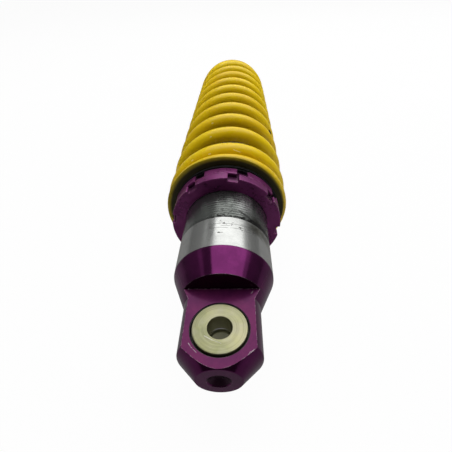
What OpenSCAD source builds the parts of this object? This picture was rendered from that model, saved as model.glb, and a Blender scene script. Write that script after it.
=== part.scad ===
// Coilover strut: a monotube damper with a threaded body, a helical spring held
// between a threaded preload collar and a seat on the rod eye, and a spherical
// bearing with two stepped bushes in each eye.
// Millimetres. +Z runs from the body eye's bolt axis to the rod eye's, and both
// bolt axes run along Y. The strut is drawn fully extended.

/* [Overall] */
// Distance between the two bolt axes at full extension
eye_to_eye = 400; // [395:1:480]
// Travel of the rod, from full extension to the bump stop
stroke = 70; // [50:1:82]

/* [Eyes] */
// Width of each eye across its milled flats
eye_w = 19.4; // [17:0.1:24]
// Diameter of the round neck that carries the eye
neck_d = 35.3; // [33:0.1:38]
// Distance from the bolt axis to the flat end of the nose
nose_h = 16.8; // [16:0.1:18]
// Diameter of the flat end of the nose
nose_end_d = 18.8; // [16:0.1:24]
// Slope of the nose's chamfer from the strut's axis
nose_angle = 44; // [35:1:50]
// Distance from the bolt axis to the milled shoulders
shoulder_h = 20; // [17:0.1:23]
// Distance from the bolt axis to the large end of the cone
cone_h = 32.8; // [30:0.1:40]
// Diameter of the turning centre in the nose
nose_recess_d = 10; // [4:0.1:12]
// Depth of the turning centre
nose_recess_depth = 2.6; // [1:0.1:2.8]

/* [Eye bearings] */
// Bore for the mounting bolt
bolt_d = 10.2; // [8:0.1:12.3]
// Outer diameter of the bearing race
race_d = 22; // [20:0.1:23]
// Width of the bearing race
race_w = 8; // [6:0.1:9]
// Diameter of the bearing ball
ball_d = 18; // [17:0.1:19]
// Width of the bearing ball
ball_w = 10; // [9:0.1:11.5]
// Diameter of the seal recess in each face of an eye
seal_recess_d = 24.9; // [24:0.1:26]
// Width of the metal between the two seal recesses
housing_w = 12; // [11:0.1:13]
// Flange diameter of the bushes
bush_flange_d = 22.9; // [20:0.1:24]
// Flange thickness of the bushes
bush_flange_t = 2.4; // [1.5:0.1:3]
// Height that each bush stands proud of its eye
bush_proud = 0.55; // [0.2:0.05:2]
// Gap between the ends of the two bushes inside the ball
bush_gap = 3.2; // [0.5:0.1:5]

/* [Damper body] */
// Outer diameter of the smooth part of the tube
tube_d = 50; // [46:0.1:60]
// Bore of the tube
tube_bore = 42; // [38:0.1:43]
// Length of the smooth part of the tube
smooth_l = 20.9; // [15:0.1:30]
// Depth of the thread relief: tube diameter less thread diameter
thread_relief = 0.2; // [0.1:0.05:1]
// Length of the body cap's spigot in the tube
cap_spigot_l = 12; // [10:0.5:16]
// Thickness of the floating gas piston
gas_piston_h = 12; // [8:0.5:16]

/* [Preload rings] */
// Wall of the lock ring, the collar and the spring seat outside the thread
ring_wall = 8.4; // [7:0.1:10]
// Thickness of the lock ring and of the preload collar
ring_t = 5.8; // [5:0.1:10]
// Distance from the bolt axis to the lock ring
lock_ring_z = 77.9; // [76:0.1:90]
// Number of spanner notches in each ring
notch_count = 8; // [4:1:12]
// Width of a spanner notch
notch_w = 6.1; // [4:0.1:8]
// Depth of a spanner notch
notch_depth = 2.3; // [1.5:0.1:4]
// Turn of the lock ring's notches from the front of the strut
lock_ring_turn = 9.2; // [0:0.1:45]
// Turn of the collar's notches from the front of the strut
collar_turn = 18.4; // [0:0.1:45]
// Thickness of the thrust washer
thrust_washer_t = 1.5; // [1:0.1:3]
// Thickness of the spring seat's flange
seat_flange_t = 1.9; // [1.5:0.1:8]
// Height of the spigot that centres the spring's lower end
seat_spigot_h = 7; // [3:0.1:12]

/* [Spring] */
// Gap between the tube's thread and the inside of the spring
spring_clearance = 5.1; // [4.6:0.1:8]
// Diameter of the spring wire
wire_d = 9.5; // [8:0.1:11.5]
// Number of turns from one end of the wire to the other
spring_turns = 12; // [9:0.5:13]
// Number of turns at each end that are wound close
closed_turns = 1.5; // [1:0.1:2]
// Gap between the close turns
closed_gap = 0.45; // [0.42:0.01:2]
// Depth of the wire's centre below the ground face at each tip
tip_sink = 1.8; // [0:0.1:2.5]
// Turn of the wire's lower tip from the front of the strut
tip_turn = 135; // [0:1:359]

/* [Rod and piston] */
// Diameter of the damper rod
rod_d = 16; // [14:0.1:20]
// Bore of the damper rod
rod_bore = 4.8; // [4:0.1:6]
// Thickness of the main piston
piston_h = 14; // [10:0.5:20]
// Thickness of each shim stack
shim_stack_t = 2; // [1:0.1:4]
// Diameter of the piston's ports
port_d = 3.6; // [2:0.1:4.5]
// Number of the piston's ports
port_count = 8; // [4:1:8]
// Height of the top-out spacer
topout_h = 9; // [5:0.5:14]
// Height of the rod guide
guide_h = 20; // [18:0.5:26]
// Free height of the bump stop
bump_h = 26; // [16:0.5:40]
// Outer diameter of the bump stop
bump_d = 36; // [30:0.5:42]

/* [Upper seat and adjuster] */
// Thickness of the spring retainer's flange
retainer_t = 6; // [4:0.1:10]
// Height of the spigot that centres the spring's upper end
retainer_spigot_h = 10; // [3:0.5:14]
// Diameter of the rod eye's spigot in the retainer
eye_spigot_d = 44; // [40:0.5:46]
// Length of the rod eye's plain flange
eye_flange_h = 7.2; // [4:0.1:12]
// Diameter of the rebound knob
knob_d = 13; // [10:0.5:16]
// Length of the rebound knob
knob_l = 7.4; // [5:0.1:10]

/* [Clearances] */
// Radial gap of a piece pressed into its seat
press_gap = 0.02; // [0.01:0.01:0.05]
// Radial gap of a running fit
running_gap = 0.06; // [0.03:0.01:0.1]
// Radial gap round a spring or a loose ring
loose_gap = 0.3; // [0.2:0.05:0.6]

/* [Hidden] */
$fn = 96;

// Colours of the finishes
anodised_purple = [0.31, 0.10, 0.29];
spring_yellow = [0.78, 0.62, 0.04];
zinc_yellow = [0.75, 0.74, 0.58];
turned_metal = [0.70, 0.71, 0.70];
bright_steel = [0.82, 0.83, 0.85];
dark_steel = [0.35, 0.35, 0.37];
black_rubber = [0.06, 0.06, 0.06];
black_plastic = [0.09, 0.09, 0.10];
bronze = [0.72, 0.50, 0.27];

// A cut runs this far past the face that it opens
overcut = 1;
// Width of a small chamfer
edge_chamfer = 0.5;

// Eyes
body_eye_z = 0;
rod_eye_z = eye_to_eye;
neck_r = neck_d / 2;
nose_end_r = nose_end_d / 2;
nose_edge_h = nose_h - (neck_r - nose_end_r) / tan(nose_angle);
tube_r = tube_d / 2;
cone_angle = 22.9;
cone_edge_r = 3;
cone_edge_z = cone_h - cone_edge_r * sin(cone_angle);
cone_edge_x = tube_r - cone_edge_r * (1 - cos(cone_angle));
neck_top_h = cone_edge_z - (cone_edge_x - neck_r) / tan(cone_angle);

// Eye bearings
race_r = race_d / 2;
ball_r = ball_d / 2;
seal_recess_r = seal_recess_d / 2;
bush_face = eye_w / 2 + bush_proud;
bush_wall = 0.87;
ball_bore_r = bolt_d / 2 + bush_wall + running_gap / 2;
bush_body_r = sqrt(pow(ball_r, 2) - pow(ball_w / 2, 2));
circlip_t = 1;
circlip_gap = 0.1;
circlip_wire_w = 1.9;
groove_depth = 0.7;
shoulder_bore_r = race_r - 0.8;
seal_base_t = 1.1;
seal_lip_t = 0.35;
seal_inner_gap = 0.9;
seal_face_gap = 0.4;

// Damper body
bore_r = tube_bore / 2;
thread_r = (tube_d - thread_relief) / 2;
thread_z = cone_h + smooth_l;
cap_end_z = cone_h + cap_spigot_l;
retainer_z = rod_eye_z - cone_h - eye_flange_h - retainer_t;
lock_nut_h = 8;
bump_washer_t = 2;
lock_nut_z = retainer_z - lock_nut_h;
bump_washer_z = lock_nut_z - bump_washer_t;
bump_z = bump_washer_z - bump_h;
tube_top_z = bump_z - stroke - 2;
circlip_seat_z = tube_top_z - 4;
guide_circlip_t = 1.5;
guide_z = circlip_seat_z - guide_h;
ring_groove_w = 2.4;
ring_section_r = 0.95;
fill_port_r = 2.5;
fill_head_r = 3.5;
fill_head_gap = 1;
fill_port_y = eye_w / 2 + fill_head_gap + fill_head_r;
fill_head_h = 3;
fill_washer_t = 0.8;
fill_screw_l = 12;

// Rod and piston
rod_r = rod_d / 2;
rod_bore_r = rod_bore / 2;
tenon_r = 5;
topout_gap = 0.3;
rod_shoulder_z = guide_z - topout_h - topout_gap;
topout_washer_t = 1.5;
upper_shims_z = rod_shoulder_z - topout_washer_t - shim_stack_t;
piston_z = upper_shims_z - piston_h;
lower_shims_z = piston_z - shim_stack_t;
piston_nut_h = 9;
piston_nut_z = lower_shims_z - piston_nut_h;
rod_end_z = piston_nut_z - 2;
port_circle_r = 14;
band_depth = 1.2;
band_h = piston_h - 6;
shim_steps = 3;

// The gas piston rests this far below the piston nut at full stroke
gas_piston_margin = 14;
gas_piston_z = rod_end_z - stroke - gas_piston_margin - gas_piston_h + 2;

// Rings and seats
ring_r = thread_r + ring_wall;
collar_z = lock_ring_z + ring_t;
thrust_washer_z = collar_z + ring_t;
spring_seat_z = thrust_washer_z + thrust_washer_t;
spring_z = spring_seat_z + seat_flange_t;
spring_inner_r = thread_r + spring_clearance;
curl_rings = 8;
spigot_r = spring_inner_r * cos(180 / curl_rings) - loose_gap;
eye_spigot_r = eye_spigot_d / 2;

// Rod top
rod_tenon_r = 7;
rod_tenon_z = bump_washer_z;
adjuster_h = 21;
adjuster_z = rod_eye_z - adjuster_h;
spindle_r = 2.4;
rod_top_z = adjuster_z - spindle_r - running_gap - 0.8;
knob_x = neck_r + (adjuster_h + knob_d / 2 - neck_top_h) * tan(cone_angle) + 0.55;

// Spring
wire_r = wire_d / 2;
coil_r = spring_inner_r + wire_r;
spring_h = retainer_z - spring_z;
closed_pitch = wire_d + closed_gap;
half_turns = spring_turns / 2;
pitch_blend = 0.15;
open_rise = spring_h / 2 + tip_sink - closed_pitch * half_turns;
open_pitch = closed_pitch + open_rise / (half_turns - closed_turns);
wire_sides = 6;
ring_total = round(spring_turns * curl_rings);

// Angle about +Z of a direction that lies a given turn from the front (-Y)
function from_front(turn) = turn - 90;

// Rises from nothing to a slope of one, through a parabola round zero
function soft_ramp(x) =
    x <= -pitch_blend ? 0 : x >= pitch_blend ? x : pow(x + pitch_blend, 2) / (4 * pitch_blend);

// Height of the wire's centre above the nearer ground face, counted in turns
function lower_half_rise(turns) =
    -tip_sink + closed_pitch * turns + (open_pitch - closed_pitch) * soft_ramp(turns - closed_turns);
function wire_rise(turns) =
    turns <= half_turns ? lower_half_rise(turns) : spring_h - lower_half_rise(spring_turns - turns);

// Keeps a height between the spring's two ground faces
function ground(z) = max(spring_z, min(spring_z + spring_h, z));

// One six-sided ring of the wire
function wire_ring(index) =
    let (turns = index / curl_rings)
    let (angle = from_front(tip_turn + 360 * turns))
    [
        for (side = [0 : wire_sides - 1])
            let (around = 360 * side / wire_sides)
            let (radius = coil_r + wire_r * cos(around))
            [
                radius * cos(angle),
                radius * sin(angle),
                ground(spring_z + wire_rise(turns) + wire_r * sin(around))
            ]
    ];
spring_rings = [for (index = [0 : ring_total]) wire_ring(index)];
spring_points = [for (ring = spring_rings) for (point = ring) point];

// The two triangles between two rings, on one side of the wire
function side_faces(index, side) =
    let (a = index * wire_sides + side)
    let (b = index * wire_sides + (side + 1) % wire_sides)
    [[a, b, b + wire_sides], [a, b + wire_sides, a + wire_sides]];

// The triangles that close one end of the wire, fanned from one of its corners
function end_faces(first, hub, outward) =
    [
        for (step = [1 : wire_sides - 2])
            let (a = first + (hub + step) % wire_sides)
            let (b = first + (hub + step + 1) % wire_sides)
            outward ? [first + hub, b, a] : [first + hub, a, b]
    ];
spring_faces = concat(
    [for (i = [0 : ring_total - 1]) for (s = [0 : wire_sides - 1]) for (f = side_faces(i, s)) f],
    end_faces(0, 1, true),
    end_faces(ring_total * wire_sides, 4, false)
);

// Least distance between points of neighbouring turns
spring_gap = min([
    for (i = [0 : ring_total - curl_rings + 1])
        for (j = [i + curl_rings - 1 : min(ring_total, i + curl_rings + 1)])
            for (p = spring_rings[i])
                for (q = spring_rings[j])
                    norm(p - q)
]);
echo(str("least gap of the spring to itself: ", spring_gap, " mm"));
assert(spring_gap > 0.4, "the spring's turns touch");

// ---------------------------------------------------------------- shared shapes

// Ring with a rectangular section, standing on z
module plain_ring(inner_r, outer_r, height) {
    difference() {
        cylinder(r = outer_r, h = height);
        translate([0, 0, -overcut])
            cylinder(r = inner_r, h = height + 2 * overcut);
    }
}

// Ring whose two outer edges are chamfered
module chamfered_ring(inner_r, outer_r, height) {
    rotate_extrude()
        polygon([
            [inner_r, 0],
            [outer_r - edge_chamfer, 0],
            [outer_r, edge_chamfer],
            [outer_r, height - edge_chamfer],
            [outer_r - edge_chamfer, height],
            [inner_r, height]
        ]);
}

// Round rubber ring about z, with its section centred on a radius
module rubber_ring(radius, section_r) {
    rotate_extrude()
        translate([radius, 0])
            circle(r = section_r, $fn = 32);
}

// Ring with a gap on +X, for a snap ring
module snap_ring(inner_r, outer_r, thickness, gap) {
    difference() {
        plain_ring(inner_r, outer_r, thickness);
        translate([0, -gap / 2, -overcut])
            cube([outer_r + overcut, gap, thickness + 2 * overcut]);
    }
}

// Hexagon nut with its bore
module hexagon_nut(across_flats, bore_radius, height) {
    difference() {
        intersection() {
            cylinder(r = across_flats / sqrt(3), h = height, $fn = 6);
            translate([0, 0, height / 2])
                sphere(r = across_flats / sqrt(3) * 1.03);
        }
        translate([0, 0, -overcut])
            cylinder(r = bore_radius, h = height + 2 * overcut);
    }
}

// Places children, drawn along z, along the bolt axis of an eye
module along_bolt(eye_z) {
    translate([0, 0, eye_z])
        rotate([-90, 0, 0])
            children();
}

// Spanner notches round a ring
module spanner_notches(outer_r, height, first_turn) {
    for (index = [0 : notch_count - 1])
        rotate([0, 0, from_front(first_turn + 360 * index / notch_count)])
            translate([outer_r - notch_depth, -notch_w / 2, -overcut])
                cube([notch_depth + overcut, notch_w, height + 2 * overcut]);
}

// ------------------------------------------------------------------------- eyes

// Chamfered nose, round neck and cone, with the bolt axis at z = 0. The profile goes on
// from the cone's large end through the points of tail.
module eye_blank(tail) {
    rotate_extrude()
        polygon(concat(
            [
                [0, -nose_h],
                [nose_end_r, -nose_h],
                [neck_r, -nose_edge_h],
                [neck_r, neck_top_h]
            ],
            [
                for (step = [3 : -1 : 0])
                    let (turn = cone_angle * step / 3)
                    [
                        tube_r - cone_edge_r * (1 - cos(turn)),
                        cone_h - cone_edge_r * sin(turn)
                    ]
            ],
            tail
        ));
}

// The two milled flats of an eye, up to its shoulders
module milled_flats() {
    for (side = [-1, 1])
        translate([-tube_r, side < 0 ? -tube_r - eye_w / 2 : eye_w / 2, -nose_h - overcut])
            cube([tube_d, tube_r, nose_h + overcut + shoulder_h]);
}

// Stepped housing for the bearing, its snap ring and its seals
module bearing_housing() {
    rotate([-90, 0, 0]) {
        translate([0, 0, -eye_w])
            cylinder(r = shoulder_bore_r, h = 2 * eye_w);
        translate([0, 0, -housing_w / 2 - overcut])
            cylinder(r = race_r, h = housing_w / 2 + overcut + race_w / 2);
        translate([0, 0, -race_w / 2 - circlip_t - 2 * circlip_gap])
            cylinder(r = race_r + groove_depth, h = circlip_t + 2 * circlip_gap);
        for (side = [0, 1])
            mirror([0, 0, side])
                translate([0, 0, housing_w / 2])
                    cylinder(r = seal_recess_r, h = eye_w);
    }
}

// Turning centre in the end of the nose
module turning_centre() {
    translate([0, 0, -nose_h - overcut])
        cylinder(r = nose_recess_d / 2, h = overcut + nose_recess_depth);
}

module body_eye() {
    color(anodised_purple)
        difference() {
            eye_blank([
                [bore_r - press_gap, cone_h],
                [bore_r - press_gap, cap_end_z],
                [0, cap_end_z]
            ]);
            milled_flats();
            bearing_housing();
            turning_centre();
            translate([0, fill_port_y, shoulder_h - overcut])
                cylinder(r = fill_port_r, h = cap_end_z - shoulder_h + 2 * overcut);
            translate([0, 0, cap_end_z - cap_spigot_l / 2 - ring_groove_w / 2])
                plain_ring(bore_r - 2 * ring_section_r, bore_r + overcut, ring_groove_w);
        }
}

module rod_eye() {
    color(anodised_purple)
        translate([0, 0, rod_eye_z])
            mirror([0, 0, 1])
                difference() {
                    eye_blank([
                        [tube_r, cone_h + eye_flange_h],
                        [eye_spigot_r, cone_h + eye_flange_h],
                        [eye_spigot_r, cone_h + eye_flange_h + retainer_t],
                        [0, cone_h + eye_flange_h + retainer_t]
                    ]);
                    milled_flats();
                    bearing_housing();
                    turning_centre();
                    rod_socket();
                }
}

// Socket for the rod and the cross hole of the adjuster, seen from the rod eye
module rod_socket() {
    socket_top_h = rod_eye_z - rod_top_z - loose_gap;
    socket_mouth_h = rod_eye_z - retainer_z;
    translate([0, 0, socket_top_h])
        cylinder(r = rod_tenon_r + press_gap, h = socket_mouth_h - socket_top_h + overcut);
    translate([0, 0, adjuster_h])
        cylinder(r = rod_bore_r, h = socket_top_h - adjuster_h + overcut);
    translate([-spindle_r - loose_gap, 0, adjuster_h])
        rotate([0, 90, 0])
            cylinder(r = spindle_r + running_gap, h = tube_r + overcut);
}

// ---------------------------------------------------------------- eye bearings

module bearing_race(eye_z) {
    color(dark_steel)
        along_bolt(eye_z)
            difference() {
                translate([0, 0, -race_w / 2])
                    cylinder(r = race_r - press_gap, h = race_w);
                sphere(r = ball_r + running_gap);
            }
}

module bearing_ball(eye_z) {
    color(bright_steel)
        along_bolt(eye_z)
            difference() {
                intersection() {
                    sphere(r = ball_r);
                    translate([0, 0, -ball_w / 2])
                        cylinder(r = ball_d, h = ball_w);
                }
                translate([0, 0, -ball_w])
                    cylinder(r = ball_bore_r, h = 2 * ball_w);
            }
}

module bearing_circlip(eye_z) {
    color(dark_steel)
        along_bolt(eye_z)
            translate([0, 0, -race_w / 2 - circlip_gap - circlip_t])
                rotate([0, 0, 60])
                    snap_ring(race_r + groove_depth - 0.1 - circlip_wire_w,
                              race_r + groove_depth - 0.1, circlip_t, 5);
}

// Dust seal with a low lip, in each face of the eye
module eye_seals(eye_z) {
    color(black_rubber)
        along_bolt(eye_z)
            for (side = [0, 1])
                mirror([0, 0, side])
                    translate([0, 0, housing_w / 2]) {
                        seal_section();
                    }
}

module seal_section() {
    outer_r = seal_recess_r - press_gap;
    lip_h = (eye_w - housing_w) / 2 - seal_face_gap;
    rotate_extrude()
        polygon([
            [bush_body_r + seal_inner_gap, 0],
            [outer_r, 0],
            [outer_r, lip_h],
            [outer_r - seal_lip_t, lip_h],
            [outer_r - seal_lip_t, seal_base_t],
            [bush_body_r + seal_inner_gap, seal_base_t]
        ]);
}

// Stepped bush: flange outside, body against the ball, spigot in the ball's bore
module stepped_bush(eye_z, side) {
    bolt_r = bolt_d / 2;
    flange_r = bush_flange_d / 2;
    bush_chamfer = 0.4;
    flange_back = bush_face - bush_flange_t;
    color(zinc_yellow)
        along_bolt(eye_z)
            mirror([0, 0, side < 0 ? 1 : 0])
                rotate_extrude()
                    polygon([
                        [bolt_r, bush_gap / 2],
                        [bolt_r + bush_wall, bush_gap / 2],
                        [bolt_r + bush_wall, ball_w / 2],
                        [bush_body_r, ball_w / 2],
                        [bush_body_r, flange_back],
                        [flange_r, flange_back],
                        [flange_r, bush_face - bush_chamfer],
                        [flange_r - bush_chamfer, bush_face],
                        [bolt_r, bush_face]
                    ]);
}

module body_race() {
    bearing_race(body_eye_z);
}

module body_ball() {
    bearing_ball(body_eye_z);
}

module body_race_circlip() {
    bearing_circlip(body_eye_z);
}

module body_eye_seals() {
    eye_seals(body_eye_z);
}

module body_front_bush() {
    stepped_bush(body_eye_z, -1);
}

module body_back_bush() {
    stepped_bush(body_eye_z, 1);
}

module rod_race() {
    bearing_race(rod_eye_z);
}

module rod_ball() {
    bearing_ball(rod_eye_z);
}

module rod_race_circlip() {
    bearing_circlip(rod_eye_z);
}

module rod_eye_seals() {
    eye_seals(rod_eye_z);
}

module rod_front_bush() {
    stepped_bush(rod_eye_z, -1);
}

module rod_back_bush() {
    stepped_bush(rod_eye_z, 1);
}

// ----------------------------------------------------------------- damper body

module cap_seal_ring() {
    color(black_rubber)
        translate([0, 0, cap_end_z - cap_spigot_l / 2])
            rubber_ring(bore_r - ring_section_r, ring_section_r - 0.05);
}

// Socket-head screw that closes the gas port behind the eye
module gas_fill_screw() {
    head_z = shoulder_h - fill_washer_t - fill_head_h;
    color(dark_steel)
        translate([0, fill_port_y, head_z])
            difference() {
                union() {
                    cylinder(r = fill_head_r, h = fill_head_h);
                    cylinder(r = fill_port_r - running_gap, h = fill_head_h + fill_screw_l);
                }
                translate([0, 0, -overcut])
                    cylinder(r = 1.75, h = overcut + 1.8, $fn = 6);
            }
}

module gas_fill_washer() {
    color(bronze)
        translate([0, fill_port_y, shoulder_h - fill_washer_t])
            plain_ring(fill_port_r, fill_head_r + 0.3, fill_washer_t);
}

module damper_tube() {
    length = tube_top_z - cone_h;
    color(turned_metal)
        translate([0, 0, cone_h])
            difference() {
                rotate_extrude()
                    polygon([
                        [bore_r, 0],
                        [tube_r, 0],
                        [tube_r, smooth_l],
                        [thread_r, smooth_l + thread_relief],
                        [thread_r, length - edge_chamfer],
                        [thread_r - edge_chamfer, length],
                        [bore_r, length]
                    ]);
                translate([0, 0, circlip_seat_z - cone_h])
                    cylinder(r = bore_r + 1.1, h = guide_circlip_t + 2 * circlip_gap);
            }
}

module gas_piston() {
    cup_r = bore_r - 6;
    color(turned_metal)
        translate([0, 0, gas_piston_z])
            difference() {
                chamfered_ring(0, bore_r - 2 * running_gap, gas_piston_h);
                translate([0, 0, -overcut])
                    cylinder(r = cup_r, h = overcut + gas_piston_h / 3);
                translate([0, 0, gas_piston_h / 2 - ring_groove_w / 2])
                    plain_ring(bore_r - 2 * ring_section_r, bore_r + overcut, ring_groove_w);
            }
}

module gas_piston_ring() {
    color(black_rubber)
        translate([0, 0, gas_piston_z + gas_piston_h / 2])
            rubber_ring(bore_r - ring_section_r, ring_section_r - 0.05);
}

// Head that closes the tube: it carries the rod's bush, seal and wiper
module rod_guide() {
    bush_seat_r = rod_r + 1.5;
    seal_seat_r = rod_r + 4;
    color(turned_metal)
        translate([0, 0, guide_z])
            difference() {
                chamfered_ring(rod_r + 0.4, bore_r - press_gap, guide_h);
                translate([0, 0, -overcut])
                    cylinder(r = bush_seat_r, h = overcut + guide_h - 8);
                translate([0, 0, guide_h - 5.5])
                    cylinder(r = seal_seat_r, h = 5.5 + overcut);
                translate([0, 0, guide_h / 2 - ring_groove_w / 2])
                    plain_ring(bore_r - 2 * ring_section_r, bore_r + overcut, ring_groove_w);
            }
}

module rod_guide_bush() {
    color(bronze)
        translate([0, 0, guide_z])
            plain_ring(rod_r + running_gap, rod_r + 1.5 - press_gap, guide_h - 8);
}

module rod_guide_ring() {
    color(black_rubber)
        translate([0, 0, guide_z + guide_h / 2])
            rubber_ring(bore_r - ring_section_r, ring_section_r - 0.05);
}

module rod_seal() {
    color(black_rubber)
        translate([0, 0, circlip_seat_z - 5.5])
            plain_ring(rod_r + running_gap, rod_r + 4 - press_gap, 2.8);
}

// Wiper with a lip that stands out of the guide
module rod_wiper() {
    outer_r = rod_r + 4 - press_gap;
    color(black_rubber)
        translate([0, 0, circlip_seat_z - 2.6])
            rotate_extrude()
                polygon([
                    [rod_r + running_gap, 0],
                    [outer_r, 0],
                    [outer_r, 2.6],
                    [rod_r + 2.2, 2.6],
                    [rod_r + 0.8, 5],
                    [rod_r + running_gap, 5]
                ]);
}

module guide_circlip() {
    outer_r = bore_r + 1;
    color(dark_steel)
        translate([0, 0, circlip_seat_z + circlip_gap])
            snap_ring(outer_r - 3.2, outer_r, guide_circlip_t, 9);
}

// --------------------------------------------------------------- preload rings

// Round nut on the tube's thread, with spanner notches
module notched_ring(first_turn) {
    difference() {
        chamfered_ring(thread_r + running_gap, ring_r, ring_t);
        spanner_notches(ring_r, ring_t, first_turn);
    }
}

module lock_ring() {
    color(anodised_purple)
        translate([0, 0, lock_ring_z])
            notched_ring(lock_ring_turn);
}

module preload_collar() {
    color(anodised_purple)
        translate([0, 0, collar_z])
            notched_ring(collar_turn);
}

module thrust_washer() {
    color(dark_steel)
        translate([0, 0, thrust_washer_z])
            plain_ring(thread_r + loose_gap, ring_r - 0.8, thrust_washer_t);
}

module spring_seat() {
    inner_r = thread_r + loose_gap;
    color(black_plastic)
        translate([0, 0, spring_seat_z])
            rotate_extrude()
                polygon([
                    [inner_r, 0],
                    [ring_r - edge_chamfer, 0],
                    [ring_r, edge_chamfer],
                    [ring_r, seat_flange_t],
                    [spigot_r, seat_flange_t],
                    [spigot_r, seat_flange_t + seat_spigot_h - 2],
                    [spigot_r - 1, seat_flange_t + seat_spigot_h],
                    [inner_r, seat_flange_t + seat_spigot_h]
                ]);
}

module main_spring() {
    color(spring_yellow)
        polyhedron(points = spring_points, faces = spring_faces);
}

module spring_retainer() {
    color(anodised_purple)
        translate([0, 0, retainer_z - retainer_spigot_h])
            rotate_extrude()
                polygon([
                    [eye_spigot_r + running_gap, 0],
                    [spigot_r - 1, 0],
                    [spigot_r, 2],
                    [spigot_r, retainer_spigot_h],
                    [ring_r, retainer_spigot_h],
                    [ring_r, retainer_spigot_h + retainer_t - 1],
                    [ring_r - 1, retainer_spigot_h + retainer_t],
                    [eye_spigot_r + running_gap, retainer_spigot_h + retainer_t]
                ]);
}

// -------------------------------------------------------------- rod and piston

module damper_rod() {
    color(bright_steel)
        difference() {
            rotate_extrude()
                polygon([
                    [rod_bore_r, rod_end_z],
                    [tenon_r - edge_chamfer, rod_end_z],
                    [tenon_r, rod_end_z + edge_chamfer],
                    [tenon_r, rod_shoulder_z],
                    [rod_r, rod_shoulder_z],
                    [rod_r, rod_tenon_z],
                    [rod_tenon_r, rod_tenon_z],
                    [rod_tenon_r, rod_top_z - edge_chamfer],
                    [rod_tenon_r - edge_chamfer, rod_top_z],
                    [rod_bore_r, rod_top_z]
                ]);
        }
}

module topout_spacer() {
    color(black_rubber)
        translate([0, 0, rod_shoulder_z])
            chamfered_ring(rod_r + running_gap, rod_r + 5, topout_h);
}

module topout_washer() {
    color(dark_steel)
        translate([0, 0, rod_shoulder_z - topout_washer_t])
            plain_ring(tenon_r + press_gap, rod_r + 6, topout_washer_t);
}

// Pyramid of thin discs that closes the piston's ports
module shim_pyramid(wide_z, direction) {
    widest_r = port_circle_r + port_d / 2 + 1;
    step_t = shim_stack_t / shim_steps;
    color(bright_steel)
        translate([0, 0, wide_z])
            mirror([0, 0, direction < 0 ? 1 : 0])
                rotate_extrude()
                    polygon([
                        [tenon_r + press_gap, 0],
                        [widest_r, 0],
                        [widest_r, step_t],
                        [widest_r - 3, step_t],
                        [widest_r - 3, 2 * step_t],
                        [widest_r - 6, 2 * step_t],
                        [widest_r - 6, shim_stack_t],
                        [tenon_r + press_gap, shim_stack_t]
                    ]);
}

module compression_shims() {
    shim_pyramid(upper_shims_z, 1);
}

module rebound_shims() {
    shim_pyramid(piston_z, -1);
}

module main_piston() {
    color(turned_metal)
        translate([0, 0, piston_z])
            difference() {
                chamfered_ring(tenon_r + press_gap, bore_r - loose_gap, piston_h);
                translate([0, 0, piston_h / 2 - band_h / 2])
                    plain_ring(bore_r - loose_gap - band_depth, bore_r + overcut, band_h);
                for (index = [0 : port_count - 1])
                    rotate([0, 0, 360 * index / port_count])
                        translate([port_circle_r, 0, -overcut])
                            cylinder(r = port_d / 2, h = piston_h + 2 * overcut);
            }
}

module piston_band() {
    color(bronze)
        translate([0, 0, piston_z + piston_h / 2 - band_h / 2 + circlip_gap])
            plain_ring(bore_r - loose_gap - band_depth + press_gap,
                       bore_r - running_gap, band_h - 2 * circlip_gap);
}

module piston_nut() {
    color(dark_steel)
        translate([0, 0, piston_nut_z])
            hexagon_nut(17, tenon_r + press_gap, piston_nut_h);
}

// Ribbed elastic block round the rod
module bump_stop() {
    inner_r = rod_r + loose_gap;
    outer_r = bump_d / 2;
    waist_r = outer_r - 4;
    color(black_rubber)
        translate([0, 0, bump_z])
            rotate_extrude()
                polygon(concat(
                    [[inner_r, 0], [waist_r - 2, 0], [waist_r, 1.5]],
                    [for (step = [0 : 24])
                        let (share = step / 24)
                        [
                            (outer_r + waist_r) / 2 - (outer_r - waist_r) / 2 * cos(720 * share + 180 * share),
                            1.5 + share * (bump_h - 3)
                        ]],
                    [[outer_r - 1, bump_h], [inner_r, bump_h]]
                ));
}

module bump_washer() {
    color(dark_steel)
        translate([0, 0, bump_washer_z])
            plain_ring(rod_tenon_r + press_gap, bump_d / 2, bump_washer_t);
}

module rod_lock_nut() {
    color(dark_steel)
        translate([0, 0, lock_nut_z])
            hexagon_nut(27, rod_tenon_r + press_gap, lock_nut_h);
}

// -------------------------------------------------------------------- adjuster

// Places children, drawn along z, along the adjuster's axis (+X)
module along_adjuster() {
    translate([0, 0, adjuster_z])
        rotate([0, 90, 0])
            children();
}

module rebound_knob() {
    grip_count = 20;
    color(anodised_purple)
        along_adjuster()
            translate([0, 0, knob_x])
                difference() {
                    chamfered_ring(spindle_r + press_gap, knob_d / 2, knob_l);
                    for (index = [0 : grip_count - 1])
                        rotate([0, 0, 360 * index / grip_count])
                            translate([knob_d / 2 + 0.35, 0, 1.4])
                                cylinder(r = 0.8, h = knob_l);
                }
}

module adjuster_spindle() {
    color(bright_steel)
        along_adjuster()
            translate([0, 0, -spindle_r])
                difference() {
                    cylinder(r = spindle_r, h = spindle_r + knob_x + knob_l);
                    translate([-0.5, -spindle_r - overcut, spindle_r + knob_x + knob_l - 1])
                        cube([1, 2 * (spindle_r + overcut), 1 + overcut]);
                }
}

// Metering needle in the bore of the rod
module adjuster_needle() {
    needle_r = rod_bore_r - running_gap;
    needle_top_z = adjuster_z - spindle_r - loose_gap;
    tip_h = 6;
    color(bright_steel)
        rotate_extrude()
            polygon([
                [0, rod_end_z + 2],
                [needle_r / 3, rod_end_z + 2],
                [needle_r, rod_end_z + 2 + tip_h],
                [needle_r, needle_top_z],
                [0, needle_top_z]
            ]);
}

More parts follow.
